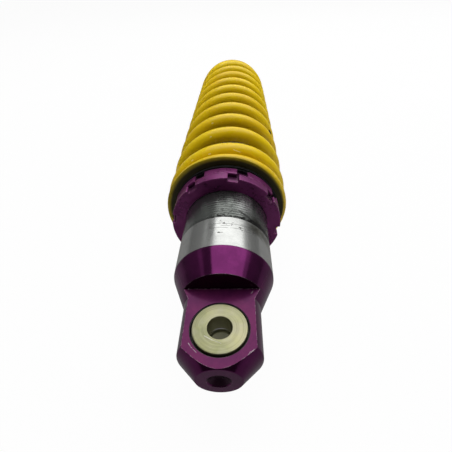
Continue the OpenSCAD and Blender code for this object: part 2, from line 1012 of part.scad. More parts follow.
body_eye();
cap_seal_ring();
gas_fill_screw();
gas_fill_washer();
damper_tube();
gas_piston();
gas_piston_ring();
rod_guide();
rod_guide_bush();
rod_guide_ring();
rod_seal();
rod_wiper();
guide_circlip();
lock_ring();
preload_collar();
thrust_washer();
spring_seat();
main_spring();
spring_retainer();
damper_rod();
topout_spacer();
topout_washer();
compression_shims();
main_piston();
piston_band();
rebound_shims();
piston_nut();
bump_stop();
bump_washer();
rod_lock_nut();
rod_eye();
rebound_knob();
adjuster_spindle();
adjuster_needle();
body_race();
body_ball();
body_race_circlip();
body_eye_seals();
body_front_bush();
body_back_bush();
rod_race();
rod_ball();
rod_race_circlip();
rod_eye_seals();
rod_front_bush();
rod_back_bush();
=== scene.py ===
"""Coilover strut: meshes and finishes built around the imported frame.

The strut lies with its axis along Z. Both bolt axes run along Y, and the floor it
lies on faces -Y. Sizes are written in millimetres and made in metres, with MM between
them. Angles about the strut's axis are radians from +X towards +Y, so the front of
the strut is at -pi / 2.
"""

import logging
import math
from dataclasses import dataclass, field
from enum import Enum
from typing import Callable, Optional, Sequence, Union

import bmesh
import bpy
from mathutils import Matrix, Vector


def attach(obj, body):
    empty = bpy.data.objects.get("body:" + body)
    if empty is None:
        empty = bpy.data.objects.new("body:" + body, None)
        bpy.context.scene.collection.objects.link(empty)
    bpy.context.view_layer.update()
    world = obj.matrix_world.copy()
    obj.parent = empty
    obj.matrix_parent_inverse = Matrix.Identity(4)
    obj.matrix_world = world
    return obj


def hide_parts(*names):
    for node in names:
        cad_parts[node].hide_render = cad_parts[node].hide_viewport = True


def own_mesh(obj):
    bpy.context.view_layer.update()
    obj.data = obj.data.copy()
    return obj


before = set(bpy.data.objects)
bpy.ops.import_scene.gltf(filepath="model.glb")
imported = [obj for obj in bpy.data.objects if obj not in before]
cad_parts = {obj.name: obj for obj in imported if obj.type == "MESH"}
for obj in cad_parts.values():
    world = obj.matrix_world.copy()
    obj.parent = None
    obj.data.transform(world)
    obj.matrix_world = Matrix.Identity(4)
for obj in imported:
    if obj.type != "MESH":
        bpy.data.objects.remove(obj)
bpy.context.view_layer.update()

log = logging.getLogger("coilover")

MM = 0.001
ORIGIN = (0, 0, 0)

# Fillets: the shortest edge that gets one, half the angle of a corner that counts as
# straight, and the share of an edge that one fillet may take.
SHORT_EDGE = 1e-6
STRAIGHT = math.radians(88)
EDGE_SHARE = 0.48

# Metres: a radius that counts as on the axis, vertices that are welded, and vertices
# that are one after a cut.
AXIS_RADIUS = 1e-9
WELD = 1e-7
SEAM = 2e-6

Color = tuple[float, float, float]
Place = tuple[float, float, float]
Corner = tuple[float, float, float]
Point = tuple[float, float]
Loop = Sequence[bmesh.types.BMVert]
Socket = bpy.types.NodeSocket

# What a node's input takes: an output to link, or a plain number, vector or colour.
Value = Union[Socket, float, Sequence[float]]

# Where a mask starts and where it is full, and what it is there, if not 0 and 1.
Span = tuple[float, ...]

# Where a mask starts, where it is full, where it starts to fade, and where it ends.
Window = tuple[float, float, float, float]


# --------------------------------------------------------------------------- meshes


class Turn(Enum):
    """Axis that a lathed piece turns about."""

    X = "x"
    Y = "y"
    Z = "z"

    def place(self, a: float, b: float, height: float) -> Place:
        """Puts in space a point at (a, b) across the axis and a height along it."""
        return {Turn.X: (height, a, b), Turn.Y: (a, height, -b), Turn.Z: (a, b, height)}[self]


def on_circle(radius: float, angle: float) -> Point:
    """Returns the point of a circle about the origin, at an angle in radians."""
    return radius * math.cos(angle), radius * math.sin(angle)


def fillet(corners: Sequence[Corner], steps: int = 4) -> list[Point]:
    """Rounds the corners of a closed profile.

    Args:
        corners: Corners as (radius, height, fillet radius), in millimetres.
        steps: Straight pieces in each fillet.

    Returns:
        The rounded profile's points, in metres.
    """
    points: list[Point] = []
    for index, (x, y, size) in enumerate(corners):
        here = Vector((x, y))
        before = Vector(corners[index - 1][:2]) - here
        after = Vector(corners[(index + 1) % len(corners)][:2]) - here
        short = min(before.length, after.length) < SHORT_EDGE
        if size <= 0 or short or before.angle(after) / 2 > STRAIGHT:
            points.append((x * MM, y * MM))
            continue
        half = before.angle(after) / 2
        reach = min(size / math.tan(half), EDGE_SHARE * before.length,
                    EDGE_SHARE * after.length)
        size = reach * math.tan(half)
        start = here + before.normalized() * reach
        end = here + after.normalized() * reach
        bisector = (before.normalized() + after.normalized()).normalized()
        centre = here + bisector * (size / math.sin(half))
        first, last = start - centre, end - centre
        sweep = math.atan2(first.cross(last), first.dot(last))
        for step in range(steps + 1):
            arm = Matrix.Rotation(sweep * step / steps, 2) @ first
            points.append(((centre.x + arm.x) * MM, (centre.y + arm.y) * MM))
    return points


def bridge(build: bmesh.types.BMesh, here: Loop, there: Loop,
           bare: Sequence[int] = ()) -> None:
    """Joins two closed loops of vertices with a band of quads.

    Args:
        build: Mesh that the loops are in.
        here: First loop.
        there: Second loop, with as many vertices.
        bare: Edges of the loop that get no quad.
    """
    for index in range(len(here)):
        after = (index + 1) % len(here)
        if index not in bare:
            build.faces.new((here[index], there[index], there[after], here[after]))


def store(build: bmesh.types.BMesh, mesh: bpy.types.Mesh) -> bpy.types.Mesh:
    """Writes what was built to a mesh, and lets go of the rest.

    Args:
        build: What was built.
        mesh: Mesh to write it to.

    Returns:
        The mesh.
    """
    build.to_mesh(mesh)
    build.free()
    return mesh


def finish_normals(mesh: bpy.types.Mesh, angle: float = 32.0) -> None:
    """Shades a mesh smooth, with sharp edges above an angle in degrees."""
    mesh.polygons.foreach_set("use_smooth", [True] * len(mesh.polygons))
    mesh.set_sharp_from_angle(angle=math.radians(angle))


def add_object(name: str, mesh: bpy.types.Mesh) -> bpy.types.Object:
    """Links a mesh into the scene.

    Args:
        name: Name of the new object.
        mesh: Its mesh.

    Returns:
        The object.
    """
    made = bpy.data.objects.new(name, mesh)
    bpy.context.collection.objects.link(made)
    return made


def turned(name: str, corners: Sequence[Corner], segments: int = 160, axis: Turn = Turn.Z,
           steps: int = 4) -> bpy.types.Object:
    """Turns a closed profile about an axis, ready to be cut.

    Args:
        name: Name of the object and its mesh.
        corners: Corners as (radius, height, fillet radius), in millimetres.
        segments: Steps round the axis.
        axis: Axis that the profile turns about.
        steps: Straight pieces in each fillet.

    Returns:
        The turned object, welded where the profile meets the axis.
    """
    profile = fillet(corners, steps)
    build = bmesh.new()
    rings = []
    for segment in range(segments):
        ring = []
        for radius, height in profile:
            a, b = on_circle(radius, 2 * math.pi * segment / segments)
            ring.append(build.verts.new(axis.place(a, b, height)))
        rings.append(ring)
    inside = [radius < AXIS_RADIUS for radius, _ in profile]
    bare = [index for index, pair in enumerate(zip(inside, inside[1:] + inside[:1]))
            if all(pair)]
    for here, there in zip(rings, rings[1:] + rings[:1]):
        bridge(build, here, there, bare)
    bmesh.ops.remove_doubles(build, verts=build.verts, dist=WELD)
    bmesh.ops.recalc_face_normals(build, faces=build.faces)
    mesh = store(build, bpy.data.meshes.new(name))
    finish_normals(mesh)
    return add_object(name, mesh)


def lathe(name: str, corners: Sequence[Corner], segments: int = 160, axis: Turn = Turn.Z,
          steps: int = 4) -> bpy.types.Object:
    """Turns a piece that gets no further cuts; its values are those of turned."""
    return weigh_normals(turned(name, corners, segments, axis, steps))


def box_cutter(low: Place, high: Place) -> bpy.types.Object:
    """Makes a box to cut with.

    Args:
        low: Lowest corner in millimetres.
        high: Highest corner in millimetres.

    Returns:
        The cutter.
    """
    build = bmesh.new()
    bmesh.ops.create_cube(build, size=1.0)
    spans = [(b - a) * MM for a, b in zip(low, high)]
    middle = [(a + b) / 2 * MM for a, b in zip(low, high)]
    for vert in build.verts:
        vert.co = Vector([m + c * s for m, c, s in zip(middle, vert.co, spans)])
    return add_object("cutter", store(build, bpy.data.meshes.new("cutter")))


def rod_cutter(start: Place, end: Place, radius: float,
               segments: int = 96) -> bpy.types.Object:
    """Makes a round bar to cut with.

    Args:
        start: Middle of one end, in millimetres.
        end: Middle of the other end, in millimetres.
        radius: Radius in millimetres.
        segments: Steps round the bar.

    Returns:
        The cutter.
    """
    a, b = Vector(start) * MM, Vector(end) * MM
    build = bmesh.new()
    bmesh.ops.create_cone(build, cap_ends=True, segments=segments, radius1=radius * MM,
                          radius2=radius * MM, depth=(b - a).length)
    turn = Vector((0, 0, 1)).rotation_difference((b - a).normalized()).to_matrix().to_4x4()
    bmesh.ops.transform(build, verts=build.verts,
                        matrix=Matrix.Translation((a + b) / 2) @ turn)
    return add_object("cutter", store(build, bpy.data.meshes.new("cutter")))


def bake(made: bpy.types.Object) -> bpy.types.Object:
    """Turns an object's modifiers into its mesh.

    Args:
        made: The object.

    Returns:
        The same object.
    """
    bpy.context.view_layer.update()
    graph = bpy.context.evaluated_depsgraph_get()
    mesh = bpy.data.meshes.new_from_object(made.evaluated_get(graph), depsgraph=graph)
    mesh.name = made.name
    made.modifiers.clear()
    made.data = mesh
    return made


def cut(made: bpy.types.Object, cutters: Sequence[bpy.types.Object]) -> None:
    """Cuts an object with others, and removes those.

    Args:
        made: Object to cut.
        cutters: Objects to cut with.
    """
    for cutter in cutters:
        step = made.modifiers.new("cut", "BOOLEAN")
        step.operation = "DIFFERENCE"
        step.solver = "EXACT"
        step.object = cutter
    bake(made)
    for cutter in cutters:
        bpy.data.objects.remove(cutter)


def weigh_normals(made: bpy.types.Object) -> bpy.types.Object:
    """Bakes normals that keep large faces flat beside narrow fillets.

    Args:
        made: The object.

    Returns:
        The same object.
    """
    step = made.modifiers.new("normals", "WEIGHTED_NORMAL")
    step.mode = "FACE_AREA_WITH_ANGLE"
    step.keep_sharp = True
    return bake(made)


def soften(made: bpy.types.Object, width: float, angle: float = 30.0,
           segments: int = 3) -> bpy.types.Object:
    """Rounds an object's sharp edges, once the cuts' leftover edges are gone.

    Args:
        made: Object to round.
        width: Width of the rounding in millimetres.
        angle: Least angle of a rounded edge, in degrees.
        segments: Faces across each rounding.

    Returns:
        The same object.
    """
    build = bmesh.new()
    build.from_mesh(made.data)
    bmesh.ops.remove_doubles(build, verts=build.verts, dist=SEAM)
    bmesh.ops.dissolve_limit(build, angle_limit=math.radians(0.4), verts=build.verts,
                             edges=build.edges, delimit={"NORMAL"})
    store(build, made.data)
    step = made.modifiers.new("round", "BEVEL")
    step.width = width * MM
    step.segments = segments
    step.limit_method = "ANGLE"
    step.angle_limit = math.radians(angle)
    step.use_clamp_overlap = True
    step.miter_outer = "MITER_ARC"
    bake(made)
    finish_normals(made.data, 40)
    return weigh_normals(made)


def lift(made: bpy.types.Object, height: float, upside_down: bool = False) -> None:
    """Moves an object's mesh up the strut.

    Args:
        made: The object, still about the origin.
        height: Height that its origin goes to, in millimetres.
        upside_down: Whether it first turns half round the X axis.
    """
    if upside_down:
        made.data.transform(Matrix.Rotation(math.pi, 4, "X"))
    made.data.transform(Matrix.Translation((0, 0, height * MM)))


# -------------------------------------------------------------------- shader graphs


class Graph:
    """Adds and links the nodes of one shader tree."""

    def __init__(self, tree: bpy.types.NodeTree) -> None:
        """Starts on a node tree."""
        self.tree = tree

    def node(self, kind: str, **settings: object) -> bpy.types.Node:
        """Adds a node.

        Args:
            kind: Type of the node.
            settings: Its properties.

        Returns:
            The node.
        """
        made = self.tree.nodes.new(kind)
        for key, value in settings.items():
            setattr(made, key, value)
        return made

    def feed(self, value: Value, socket: Socket) -> None:
        """Links an output to an input, or sets the input to a plain value.

        Args:
            value: The output or the plain value.
            socket: The input.
        """
        if isinstance(value, Socket):
            self.tree.links.new(value, socket)
        elif socket.type == "RGBA":
            socket.default_value = (*value, 1.0)
        else:
            socket.default_value = value

    def supply(self, node: bpy.types.Node, values: dict[str, Value]) -> None:
        """Feeds a node's inputs by their names."""
        for label, value in values.items():
            self.feed(value, node.inputs[label])

    def math(self, operation: str, a: Value, b: Value = 0.0, clamp: bool = False) -> Socket:
        """Adds a math node.

        Args:
            operation: What it does.
            a: First value.
            b: Second value, where the operation has two.
            clamp: Whether the result stays between 0 and 1.

        Returns:
            The result.
        """
        made = self.node("ShaderNodeMath", operation=operation, use_clamp=clamp)
        self.feed(a, made.inputs[0])
        self.feed(b, made.inputs[1])
        return made.outputs[0]

    def chain(self, operation: str, parts: Sequence[Value]) -> Value:
        """Runs one operation over several values.

        Args:
            operation: What each math node does.
            parts: The values, taken from left to right.

        Returns:
            The result.
        """
        total = parts[0]
        for part in parts[1:]:
            total = self.math(operation, total, part)
        return total

    def times(self, *parts: Value) -> Value:
        """Multiplies values."""
        return self.chain("MULTIPLY", parts)

    def plus(self, *parts: Value) -> Value:
        """Adds values."""
        return self.chain("ADD", parts)

    def minus(self, a: Value, b: Value) -> Value:
        """Takes the second value from the first."""
        return self.math("SUBTRACT", a, b)

    def most(self, *parts: Value) -> Value:
        """Returns the greatest of several values."""
        return self.chain("MAXIMUM", parts)

    def gap(self, a: Value, b: Value) -> Value:
        """Returns how far apart two values are."""
        return self.math("ABSOLUTE", self.minus(a, b))

    def blend(self, a: Value, b: Value, part: float = 0.5) -> Value:
        """Adds a part of the first value to the rest of the second."""
        return self.plus(self.times(a, part), self.times(b, 1 - part))

    def vector(self, operation: str, a: Value, b: Value = ORIGIN) -> Socket:
        """Adds a vector math node.

        Args:
            operation: What it does.
            a: First vector.
            b: Second vector, where the operation has two.

        Returns:
            The result, which is a plain value for a length or a dot product.
        """
        made = self.node("ShaderNodeVectorMath", operation=operation)
        self.feed(a, made.inputs[0])
        self.feed(b, made.inputs[1])
        return made.outputs["Value" if operation in ("LENGTH", "DOT_PRODUCT") else "Vector"]

    def scale(self, vector: Value, factor: Value) -> Socket:
        """Scales a vector.

        Args:
            vector: The vector.
            factor: What each part is multiplied by.

        Returns:
            The scaled vector.
        """
        made = self.node("ShaderNodeVectorMath", operation="SCALE")
        self.feed(vector, made.inputs[0])
        self.feed(factor, made.inputs["Scale"])
        return made.outputs[0]

    def split(self, vector: Value) -> Sequence[Socket]:
        """Splits a vector.

        Args:
            vector: The vector.

        Returns:
            Its three parts.
        """
        made = self.node("ShaderNodeSeparateXYZ")
        self.feed(vector, made.inputs[0])
        return made.outputs

    def join(self, *parts: Value) -> Socket:
        """Joins values to a vector.

        Args:
            parts: Its three parts.

        Returns:
            The vector.
        """
        made = self.node("ShaderNodeCombineXYZ")
        for socket, part in zip(made.inputs, parts):
            self.feed(part, socket)
        return made.outputs[0]

    def length(self, *parts: Value) -> Socket:
        """Returns the length of a vector of three values."""
        return self.vector("LENGTH", self.join(*parts))

    def mix(self, factor: Value, a: Value, b: Value) -> Socket:
        """Mixes two colours.

        Args:
            factor: Share of the second colour.
            a: First colour.
            b: Second colour.

        Returns:
            The mixed colour.
        """
        made = self.node("ShaderNodeMix", data_type="RGBA")
        self.feed(factor, made.inputs["Factor"])
        self.feed(a, made.inputs[6])
        self.feed(b, made.inputs[7])
        return made.outputs[2]

    def span(self, value: Value, low: Value, high: Value, to_low: Value = 0.0,
             to_high: Value = 1.0, smooth: bool = True) -> Socket:
        """Maps a value between two limits, and holds it beyond them.

        Args:
            value: The value.
            low: First limit.
            high: Second limit, which may be the lower one.
            to_low: Result at the first limit.
            to_high: Result at the second limit.
            smooth: Whether the result leaves both limits gently.

        Returns:
            The result.
        """
        made = self.node("ShaderNodeMapRange", clamp=True,
                         interpolation_type="SMOOTHSTEP" if smooth else "LINEAR")
        for socket, part in zip(made.inputs[:5], (value, low, high, to_low, to_high)):
            self.feed(part, socket)
        return made.outputs[0]

    def window(self, value: Value, start: Value, full: Value, fade: Value,
               end: Value) -> Value:
        """Masks a stretch of a value.

        Args:
            value: The value.
            start: Where the mask starts.
            full: Where it is full.
            fade: Where it starts to fade.
            end: Where it ends.

        Returns:
            The mask.
        """
        return self.times(self.span(value, start, full), self.span(value, end, fade))

    def noise(self, vector: Value, scale: Value, detail: float = 3.0,
              roughness: float = 0.5) -> Socket:
        """Adds a noise texture.

        Args:
            vector: Where it is read.
            scale: How many patches there are to a unit.
            detail: Number of finer layers.
            roughness: Weight of the finer layers.

        Returns:
            The noise, about 0.5.
        """
        made = self.node("ShaderNodeTexNoise")
        self.supply(made, {"Vector": vector, "Scale": scale, "Detail": detail,
                           "Roughness": roughness})
        return made.outputs[0]

    def place(self) -> Socket:
        """Returns the place on the object, in millimetres."""
        return self.scale(self.node("ShaderNodeTexCoord").outputs["Object"], 1 / MM)

    def group(self, group: bpy.types.NodeTree, **values: Value) -> Sequence[Socket]:
        """Places a node group.

        Args:
            group: The group.
            values: What its inputs take, by their names in lower case.

        Returns:
            Its outputs.
        """
        made = self.node("ShaderNodeGroup", node_tree=group)
        self.supply(made, {key.title(): value for key, value in values.items()})
        return made.outputs

    def effect(self, group: bpy.types.NodeTree, **values: Value) -> Socket:
        """Places a node group with one output, and returns that."""
        return self.group(group, **values)[0]

    def seen(self) -> tuple[Value, Socket]:
        """Tells by what kind of ray a surface is seen.

        Returns:
            Whether the camera sees it, also through glass, and whether a gloss does.
        """
        rays = self.node("ShaderNodeLightPath").outputs
        camera = self.most(rays["Is Camera Ray"], rays["Is Transmission Ray"])
        return camera, rays["Is Glossy Ray"]


def new_group(name: str, inputs: dict[str, Value], outputs: Sequence[str],
              body: Callable[[Graph, dict[str, Socket]], dict[str, Value]],
              ) -> bpy.types.NodeTree:
    """Builds a shader node group.

    Args:
        name: Name of the group.
        inputs: Default value of each input, by its name.
        outputs: Names of the outputs, all plain values.
        body: Makes the nodes and returns the value of each output.

    Returns:
        The group.
    """
    tree = bpy.data.node_groups.new(name, "ShaderNodeTree")
    for label, default in inputs.items():
        kind = "NodeSocketVector" if isinstance(default, tuple) else "NodeSocketFloat"
        tree.interface.new_socket(label, in_out="INPUT",
                                  socket_type=kind).default_value = default
    for label in outputs:
        tree.interface.new_socket(label, in_out="OUTPUT", socket_type="NodeSocketFloat")
    graph = Graph(tree)
    start = graph.node("NodeGroupInput")
    end = graph.node("NodeGroupOutput")
    graph.supply(end, body(graph, {label: start.outputs[label] for label in inputs}))
    return tree


class Effects:
    """The shader node groups that the finishes share, each built once."""

    def __init__(self) -> None:
        """Builds every group."""
        self.edge_wear = new_group(
            "edge_wear", {"Vector": ORIGIN, "Radius": 0.0004, "Breakup": 0.6, "Amount": 1.0},
            ["Mask"], self._edge_wear)
        self.around_axis = new_group(
            "around_axis", {"Vector": ORIGIN}, ["Radius", "Angle", "Height"],
            self._around_axis)
        self.turning = new_group(
            "turning_marks", {"Vector": ORIGIN, "Density": 6.0}, ["Height"], self._turning)
        self.mottle = new_group(
            "mottle", {"Vector": ORIGIN, "Scale": 0.05}, ["Value"], self._mottle)
        self.scratch = new_group(
            "scratch", {"Vector": ORIGIN, "Start": ORIGIN, "End": (1, 0, 0), "Width": 0.3},
            ["Mask"], self._scratch)
        self.specks = new_group(
            "specks", {"Vector": ORIGIN, "Scale": 0.3, "Size": 0.3, "Share": 0.5},
            ["Mask"], self._specks)
        self.band = new_group(
            "band", {"Vector": ORIGIN, "Low": 0.0, "High": 1.0, "Soft": 0.5, "Ragged": 1.0},
            ["Mask"], self._band)

    @staticmethod
    def _edge_wear(g: Graph, s: dict[str, Socket]) -> dict[str, Value]:
        """Masks outer edges, broken up by noise.

        Args:
            g: Graph of the group.
            s: Place, reach of the wear in metres, scale of the noise and strength.

        Returns:
            The mask.
        """
        rounded = g.node("ShaderNodeBevel", samples=6)
        g.feed(s["Radius"], rounded.inputs["Radius"])
        normal = g.node("ShaderNodeNewGeometry").outputs["Normal"]
        edge = g.span(g.vector("DOT_PRODUCT", rounded.outputs[0], normal), 0.995, 0.93)
        breakup = g.span(g.noise(s["Vector"], s["Breakup"], 4.0, 0.65), 0.62, 0.42)
        keep = g.minus(1.0, breakup)
        return {"Mask": g.math("MULTIPLY", g.times(edge, keep), s["Amount"], True)}

    @staticmethod
    def _around_axis(g: Graph, s: dict[str, Socket]) -> dict[str, Value]:
        """Turns a place into cylinder coordinates about the Z axis.

        Args:
            g: Graph of the group.
            s: Place.

        Returns:
            The radius, the angle in radians and the height.
        """
        x, y, z = g.split(s["Vector"])
        return {"Radius": g.length(x, y, 0.0), "Angle": g.math("ARCTAN2", y, x), "Height": z}

    @staticmethod
    def _turning(g: Graph, s: dict[str, Socket]) -> dict[str, Value]:
        """Draws the fine rings that a lathe tool leaves about the Z axis.

        Args:
            g: Graph of the group.
            s: Place and rings to a millimetre.

        Returns:
            The height of the rings.
        """
        x, y, z = g.split(s["Vector"])
        fine = g.join(g.times(g.length(x, y, 0.0), s["Density"]), g.times(z, s["Density"]),
                      g.times(g.math("ARCTAN2", y, x), 0.35))
        coarse = g.vector("MULTIPLY", fine, (0.17, 0.17, 1.0))
        return {"Height": g.blend(g.noise(fine, 1.0, 2.0, 0.6),
                                  g.noise(coarse, 1.0, 2.0, 0.5), 0.65)}

    @staticmethod
    def _mottle(g: Graph, s: dict[str, Socket]) -> dict[str, Value]:
        """Draws soft uneven patches with a finer grain over them.

        Args:
            g: Graph of the group.
            s: Place and patches to a millimetre.

        Returns:
            The tone.
        """
        soft = g.noise(s["Vector"], s["Scale"], 2.0, 0.5)
        grain = g.noise(s["Vector"], g.times(s["Scale"], 7.0), 4.0, 0.6)
        return {"Value": g.span(g.blend(soft, grain, 0.7), 0.36, 0.64)}

    @staticmethod
    def _scratch(g: Graph, s: dict[str, Socket]) -> dict[str, Value]:
        """Masks a straight scratch with a ragged edge.

        Args:
            g: Graph of the group.
            s: Place, the scratch's two ends and its width.

        Returns:
            The mask.
        """
        along = g.vector("SUBTRACT", s["End"], s["Start"])
        arm = g.vector("SUBTRACT", s["Vector"], s["Start"])
        share = g.math("DIVIDE", g.vector("DOT_PRODUCT", arm, along),
                       g.vector("DOT_PRODUCT", along, along), True)
        off = g.vector("SUBTRACT", arm, g.scale(along, share))
        ragged = g.times(g.noise(s["Vector"], 2.2, 3.0, 0.7), 2.0)
        reach = g.times(s["Width"], ragged)
        return {"Mask": g.span(g.math("DIVIDE", g.vector("LENGTH", off), reach), 1.0, 0.45)}

    @staticmethod
    def _specks(g: Graph, s: dict[str, Socket]) -> dict[str, Value]:
        """Masks small scattered specks, which are the middles of a few cells.

        Args:
            g: Graph of the group.
            s: Place, cells to a millimetre, size of the specks and share of the cells.

        Returns:
            The mask.
        """
        cells = g.node("ShaderNodeTexVoronoi", feature="F1")
        g.supply(cells, {"Vector": s["Vector"], "Scale": s["Scale"]})
        tone = g.split(cells.outputs["Color"])[0]
        size = g.times(s["Size"], tone)
        near = g.span(g.math("DIVIDE", cells.outputs["Distance"], size), 1.0, 0.6)
        return {"Mask": g.times(near, g.math("LESS_THAN", tone, s["Share"]))}

    @staticmethod
    def _band(g: Graph, s: dict[str, Socket]) -> dict[str, Value]:
        """Masks a band between two heights, with ragged edges.

        Args:
            g: Graph of the group.
            s: Place, the two heights, how softly they fade and how far they wander.

        Returns:
            The mask.
        """
        wander = g.times(g.minus(g.noise(s["Vector"], 0.45, 3.0, 0.6), 0.5), s["Ragged"])
        level = g.plus(g.split(s["Vector"])[2], wander)
        return {"Mask": g.window(level, s["Low"], g.plus(s["Low"], s["Soft"]),
                                 g.minus(s["High"], s["Soft"]), s["High"])}


# ------------------------------------------------------------------ marks, stains and painted light


@dataclass(frozen=True)
class Scratch:
    """A straight scratch: its two ends and width in millimetres."""

    start: Place
    end: Place
    width: float


@dataclass(frozen=True)
class Band:
    """A band between two heights in millimetres, with soft and ragged edges."""

    low: float
    high: float
    soft: float
    ragged: float

    def mask(self, g: Graph, effects: Effects, place: Value,
             climb: Optional[Value] = None) -> Socket:
        """Masks the band.

        Args:
            g: Graph of the material.
            effects: The shared effects.
            place: Place on the object.
            climb: How far the upper edge is raised, if it is.

        Returns:
            The mask.
        """
        high = self.high if climb is None else g.plus(self.high, climb)
        return g.effect(effects.band, vector=place, low=self.low, high=high,
                        soft=self.soft, ragged=self.ragged)


@dataclass(frozen=True)
class MilledFaces:
    """The flat milled faces of an eye, and the shade in its ledge and turning centre."""

    half_width: float = 9.7
    cover: Span = (0.10, 0.02)
    deep: Color = (0.084, 0.009, 0.060)
    bright: Color = (0.120, 0.014, 0.074)
    extra_roughness: float = 0.16
    metallic: float = 0.6
    recess_wear: Span = (12.7, 13.4, 0.25, 1.0)
    shade: Color = (0.055, 0.032, 0.044)
    ledge_h: float = 20.0
    ledge_shade: Span = (0.25, 0.05, 0.0, 0.85)
    centre_r: Span = (5.1, 4.7)
    centre_mouth: Span = (-16.75, -16.2)
    centre_floor: Span = (-12.0, -14.0)
    centre_side: Span = (-4.5, 0.0, 0.3, 1.0)
    centre_shade: float = 0.8
    centre_roughness: float = 0.35

    def spare(self, g: Graph, place: Value, worn: Value) -> Value:
        """Weakens the wear at the edge of the bearing's recess."""
        x, _, z = g.split(place)
        return g.times(worn, g.span(g.length(x, 0.0, z), *self.recess_wear))

    def dress(self, g: Graph, effects: Effects, place: Value, tone: Value, color: Value,
              rough: Value) -> tuple[Value, Value, Value]:
        """Adds the faces and the shade to a finish.

        Args:
            g: Graph of the material.
            effects: The shared effects.
            place: Place on the object.
            tone: Mottle of the finish.
            color: Colour so far.
            rough: Roughness so far.

        Returns:
            The colour, the roughness and how metallic it is.
        """
        _, side, height = g.split(place)
        milled = g.span(g.gap(g.math("ABSOLUTE", side), self.half_width), *self.cover)
        color = g.mix(milled, color, g.mix(tone, self.deep, self.bright))
        rough = g.plus(rough, g.times(milled, self.extra_roughness))
        metallic = g.span(milled, 0.0, 1.0, 1.0, self.metallic, smooth=False)
        ledge = g.span(g.gap(height, self.ledge_h), *self.ledge_shade)
        color = g.mix(ledge, color, self.shade)
        radius, _, height = g.group(effects.around_axis, vector=place)
        centre = g.times(g.span(radius, *self.centre_r), g.span(height, *self.centre_mouth),
                         g.span(height, *self.centre_floor), g.span(side, *self.centre_side))
        color = g.mix(g.times(centre, self.centre_shade), color, self.shade)
        return color, g.plus(rough, g.times(centre, self.centre_roughness)), metallic


@dataclass(frozen=True)
class NotchShade:
    """Painted shade on the floors of the spanner notches, darker further up, under the ring
    above.
    """

    floor_r: float = 31.0
    color: Color = (0.045, 0.012, 0.036)
    outer_edge: Span = (2.0, 0.5)
    inner_edge: Span = (-0.7, -0.2)
    above_face: Span = (77.95, 78.15)
    upwards: Span = (78.3, 81.0, 0.38, 0.85)

    def dress(self, g: Graph, effects: Effects, place: Value, color: Value) -> Socket:
        """Paints the shade onto a finish.

        Args:
            g: Graph of the material.
            effects: The shared effects.
            place: Place on the object.
            color: Colour so far.

        Returns:
            The colour.
        """
        radius, _, height = g.group(effects.around_axis, vector=place)
        off = g.minus(radius, self.floor_r)
        notch_shade = g.times(g.span(off, *self.outer_edge), g.span(off, *self.inner_edge),
                       g.span(height, *self.above_face), g.span(height, *self.upwards))
        return g.mix(notch_shade, color, self.color)


# Bright marks on the body eye, shown as bare metal: nicks at the shoulder's corners, partly
# painted highlight, and painted highlights along the rim of the bearing's recess on the front
# face.
EYE_NICKS_AND_HIGHLIGHTS = (
    Scratch((-15.4, -9.7, 20.0), (-14.2, -10.4, 19.6), 0.5),
    Scratch((14.2, -9.9, 19.0), (13.2, -9.7, 17.4), 0.35),
    Scratch((-11.9, -9.7, -6.6), (-10.6, -9.7, -8.4), 0.20),
    Scratch((-10.6, -9.7, -8.3), (-8.4, -9.7, -10.4), 0.13),
    Scratch((13.5, -9.7, -9.0), (11.6, -9.7, -10.9), 0.24),
    Scratch((12.0, -9.7, -9.9), (10.8, -9.7, -11.7), 0.15),
)

# Scrapes on the face of the front bush.
BUSH_SCRAPES = (
    Scratch((-5.9, -10.25, -3.8), (-2.7, -10.25, -5.5), 0.26),
    Scratch((-2.7, -10.25, -5.5), (0.9, -10.25, -6.9), 0.15),
)

# Bright marks on the spring's paint: a rub (the first) and four painted glints of a small
# lamp; and knocks through the paint.
SPRING_GLINTS = (
    Scratch((5.2, -36.9, 105.4), (9.3, -35.2, 105.3), 0.30),
    Scratch((-11.5, -34.7, 155.4), (-10.7, -35.0, 155.4), 0.55),
    Scratch((-10.9, -35.2, 129.4), (-10.3, -35.4, 129.5), 0.50),
    Scratch((-10.0, -35.3, 103.3), (-9.0, -35.6, 103.4), 0.50),
    Scratch((-20.9, -31.4, 102.7), (-20.1, -31.9, 102.8), 0.45),
)
SPRING_KNOCKS = (
    Scratch((34.7, -14.2, 188.3), (35.9, -11.6, 188.8), 1.3),
    Scratch((-39.0, -4.0, 137.0), (-39.2, -1.0, 138.0), 0.8),
)

# Pits and the heights of the scores on the tube below its thread.
TUBE_PITS = (
    Scratch((-1.2, -25.0, 50.9), (-0.9, -25.0, 50.9), 0.30),
    Scratch((0.1, -25.0, 48.6), (1.1, -25.0, 48.2), 0.36),
    Scratch((8.5, -23.5, 46.7), (8.9, -23.4, 46.4), 0.60),
    Scratch((9.5, -23.1, 45.0), (9.7, -23.0, 44.9), 0.30),
    Scratch((-1.8, -25.0, 41.7), (-1.3, -25.0, 41.6), 0.52),
    Scratch((-1.0, -25.0, 41.6), (0.3, -25.0, 41.6), 0.20),
    Scratch((-6.7, -24.1, 46.5), (-6.0, -24.3, 46.5), 0.30),
)
TUBE_SCORES = (49.5, 48.5, 46.9, 45.4)


# ------------------------------------------------------------------------- finishes


@dataclass(frozen=True)
class Coat:
    """A finished material, with the name of the slot that it stands for."""

    material: bpy.types.Material
    slot: str


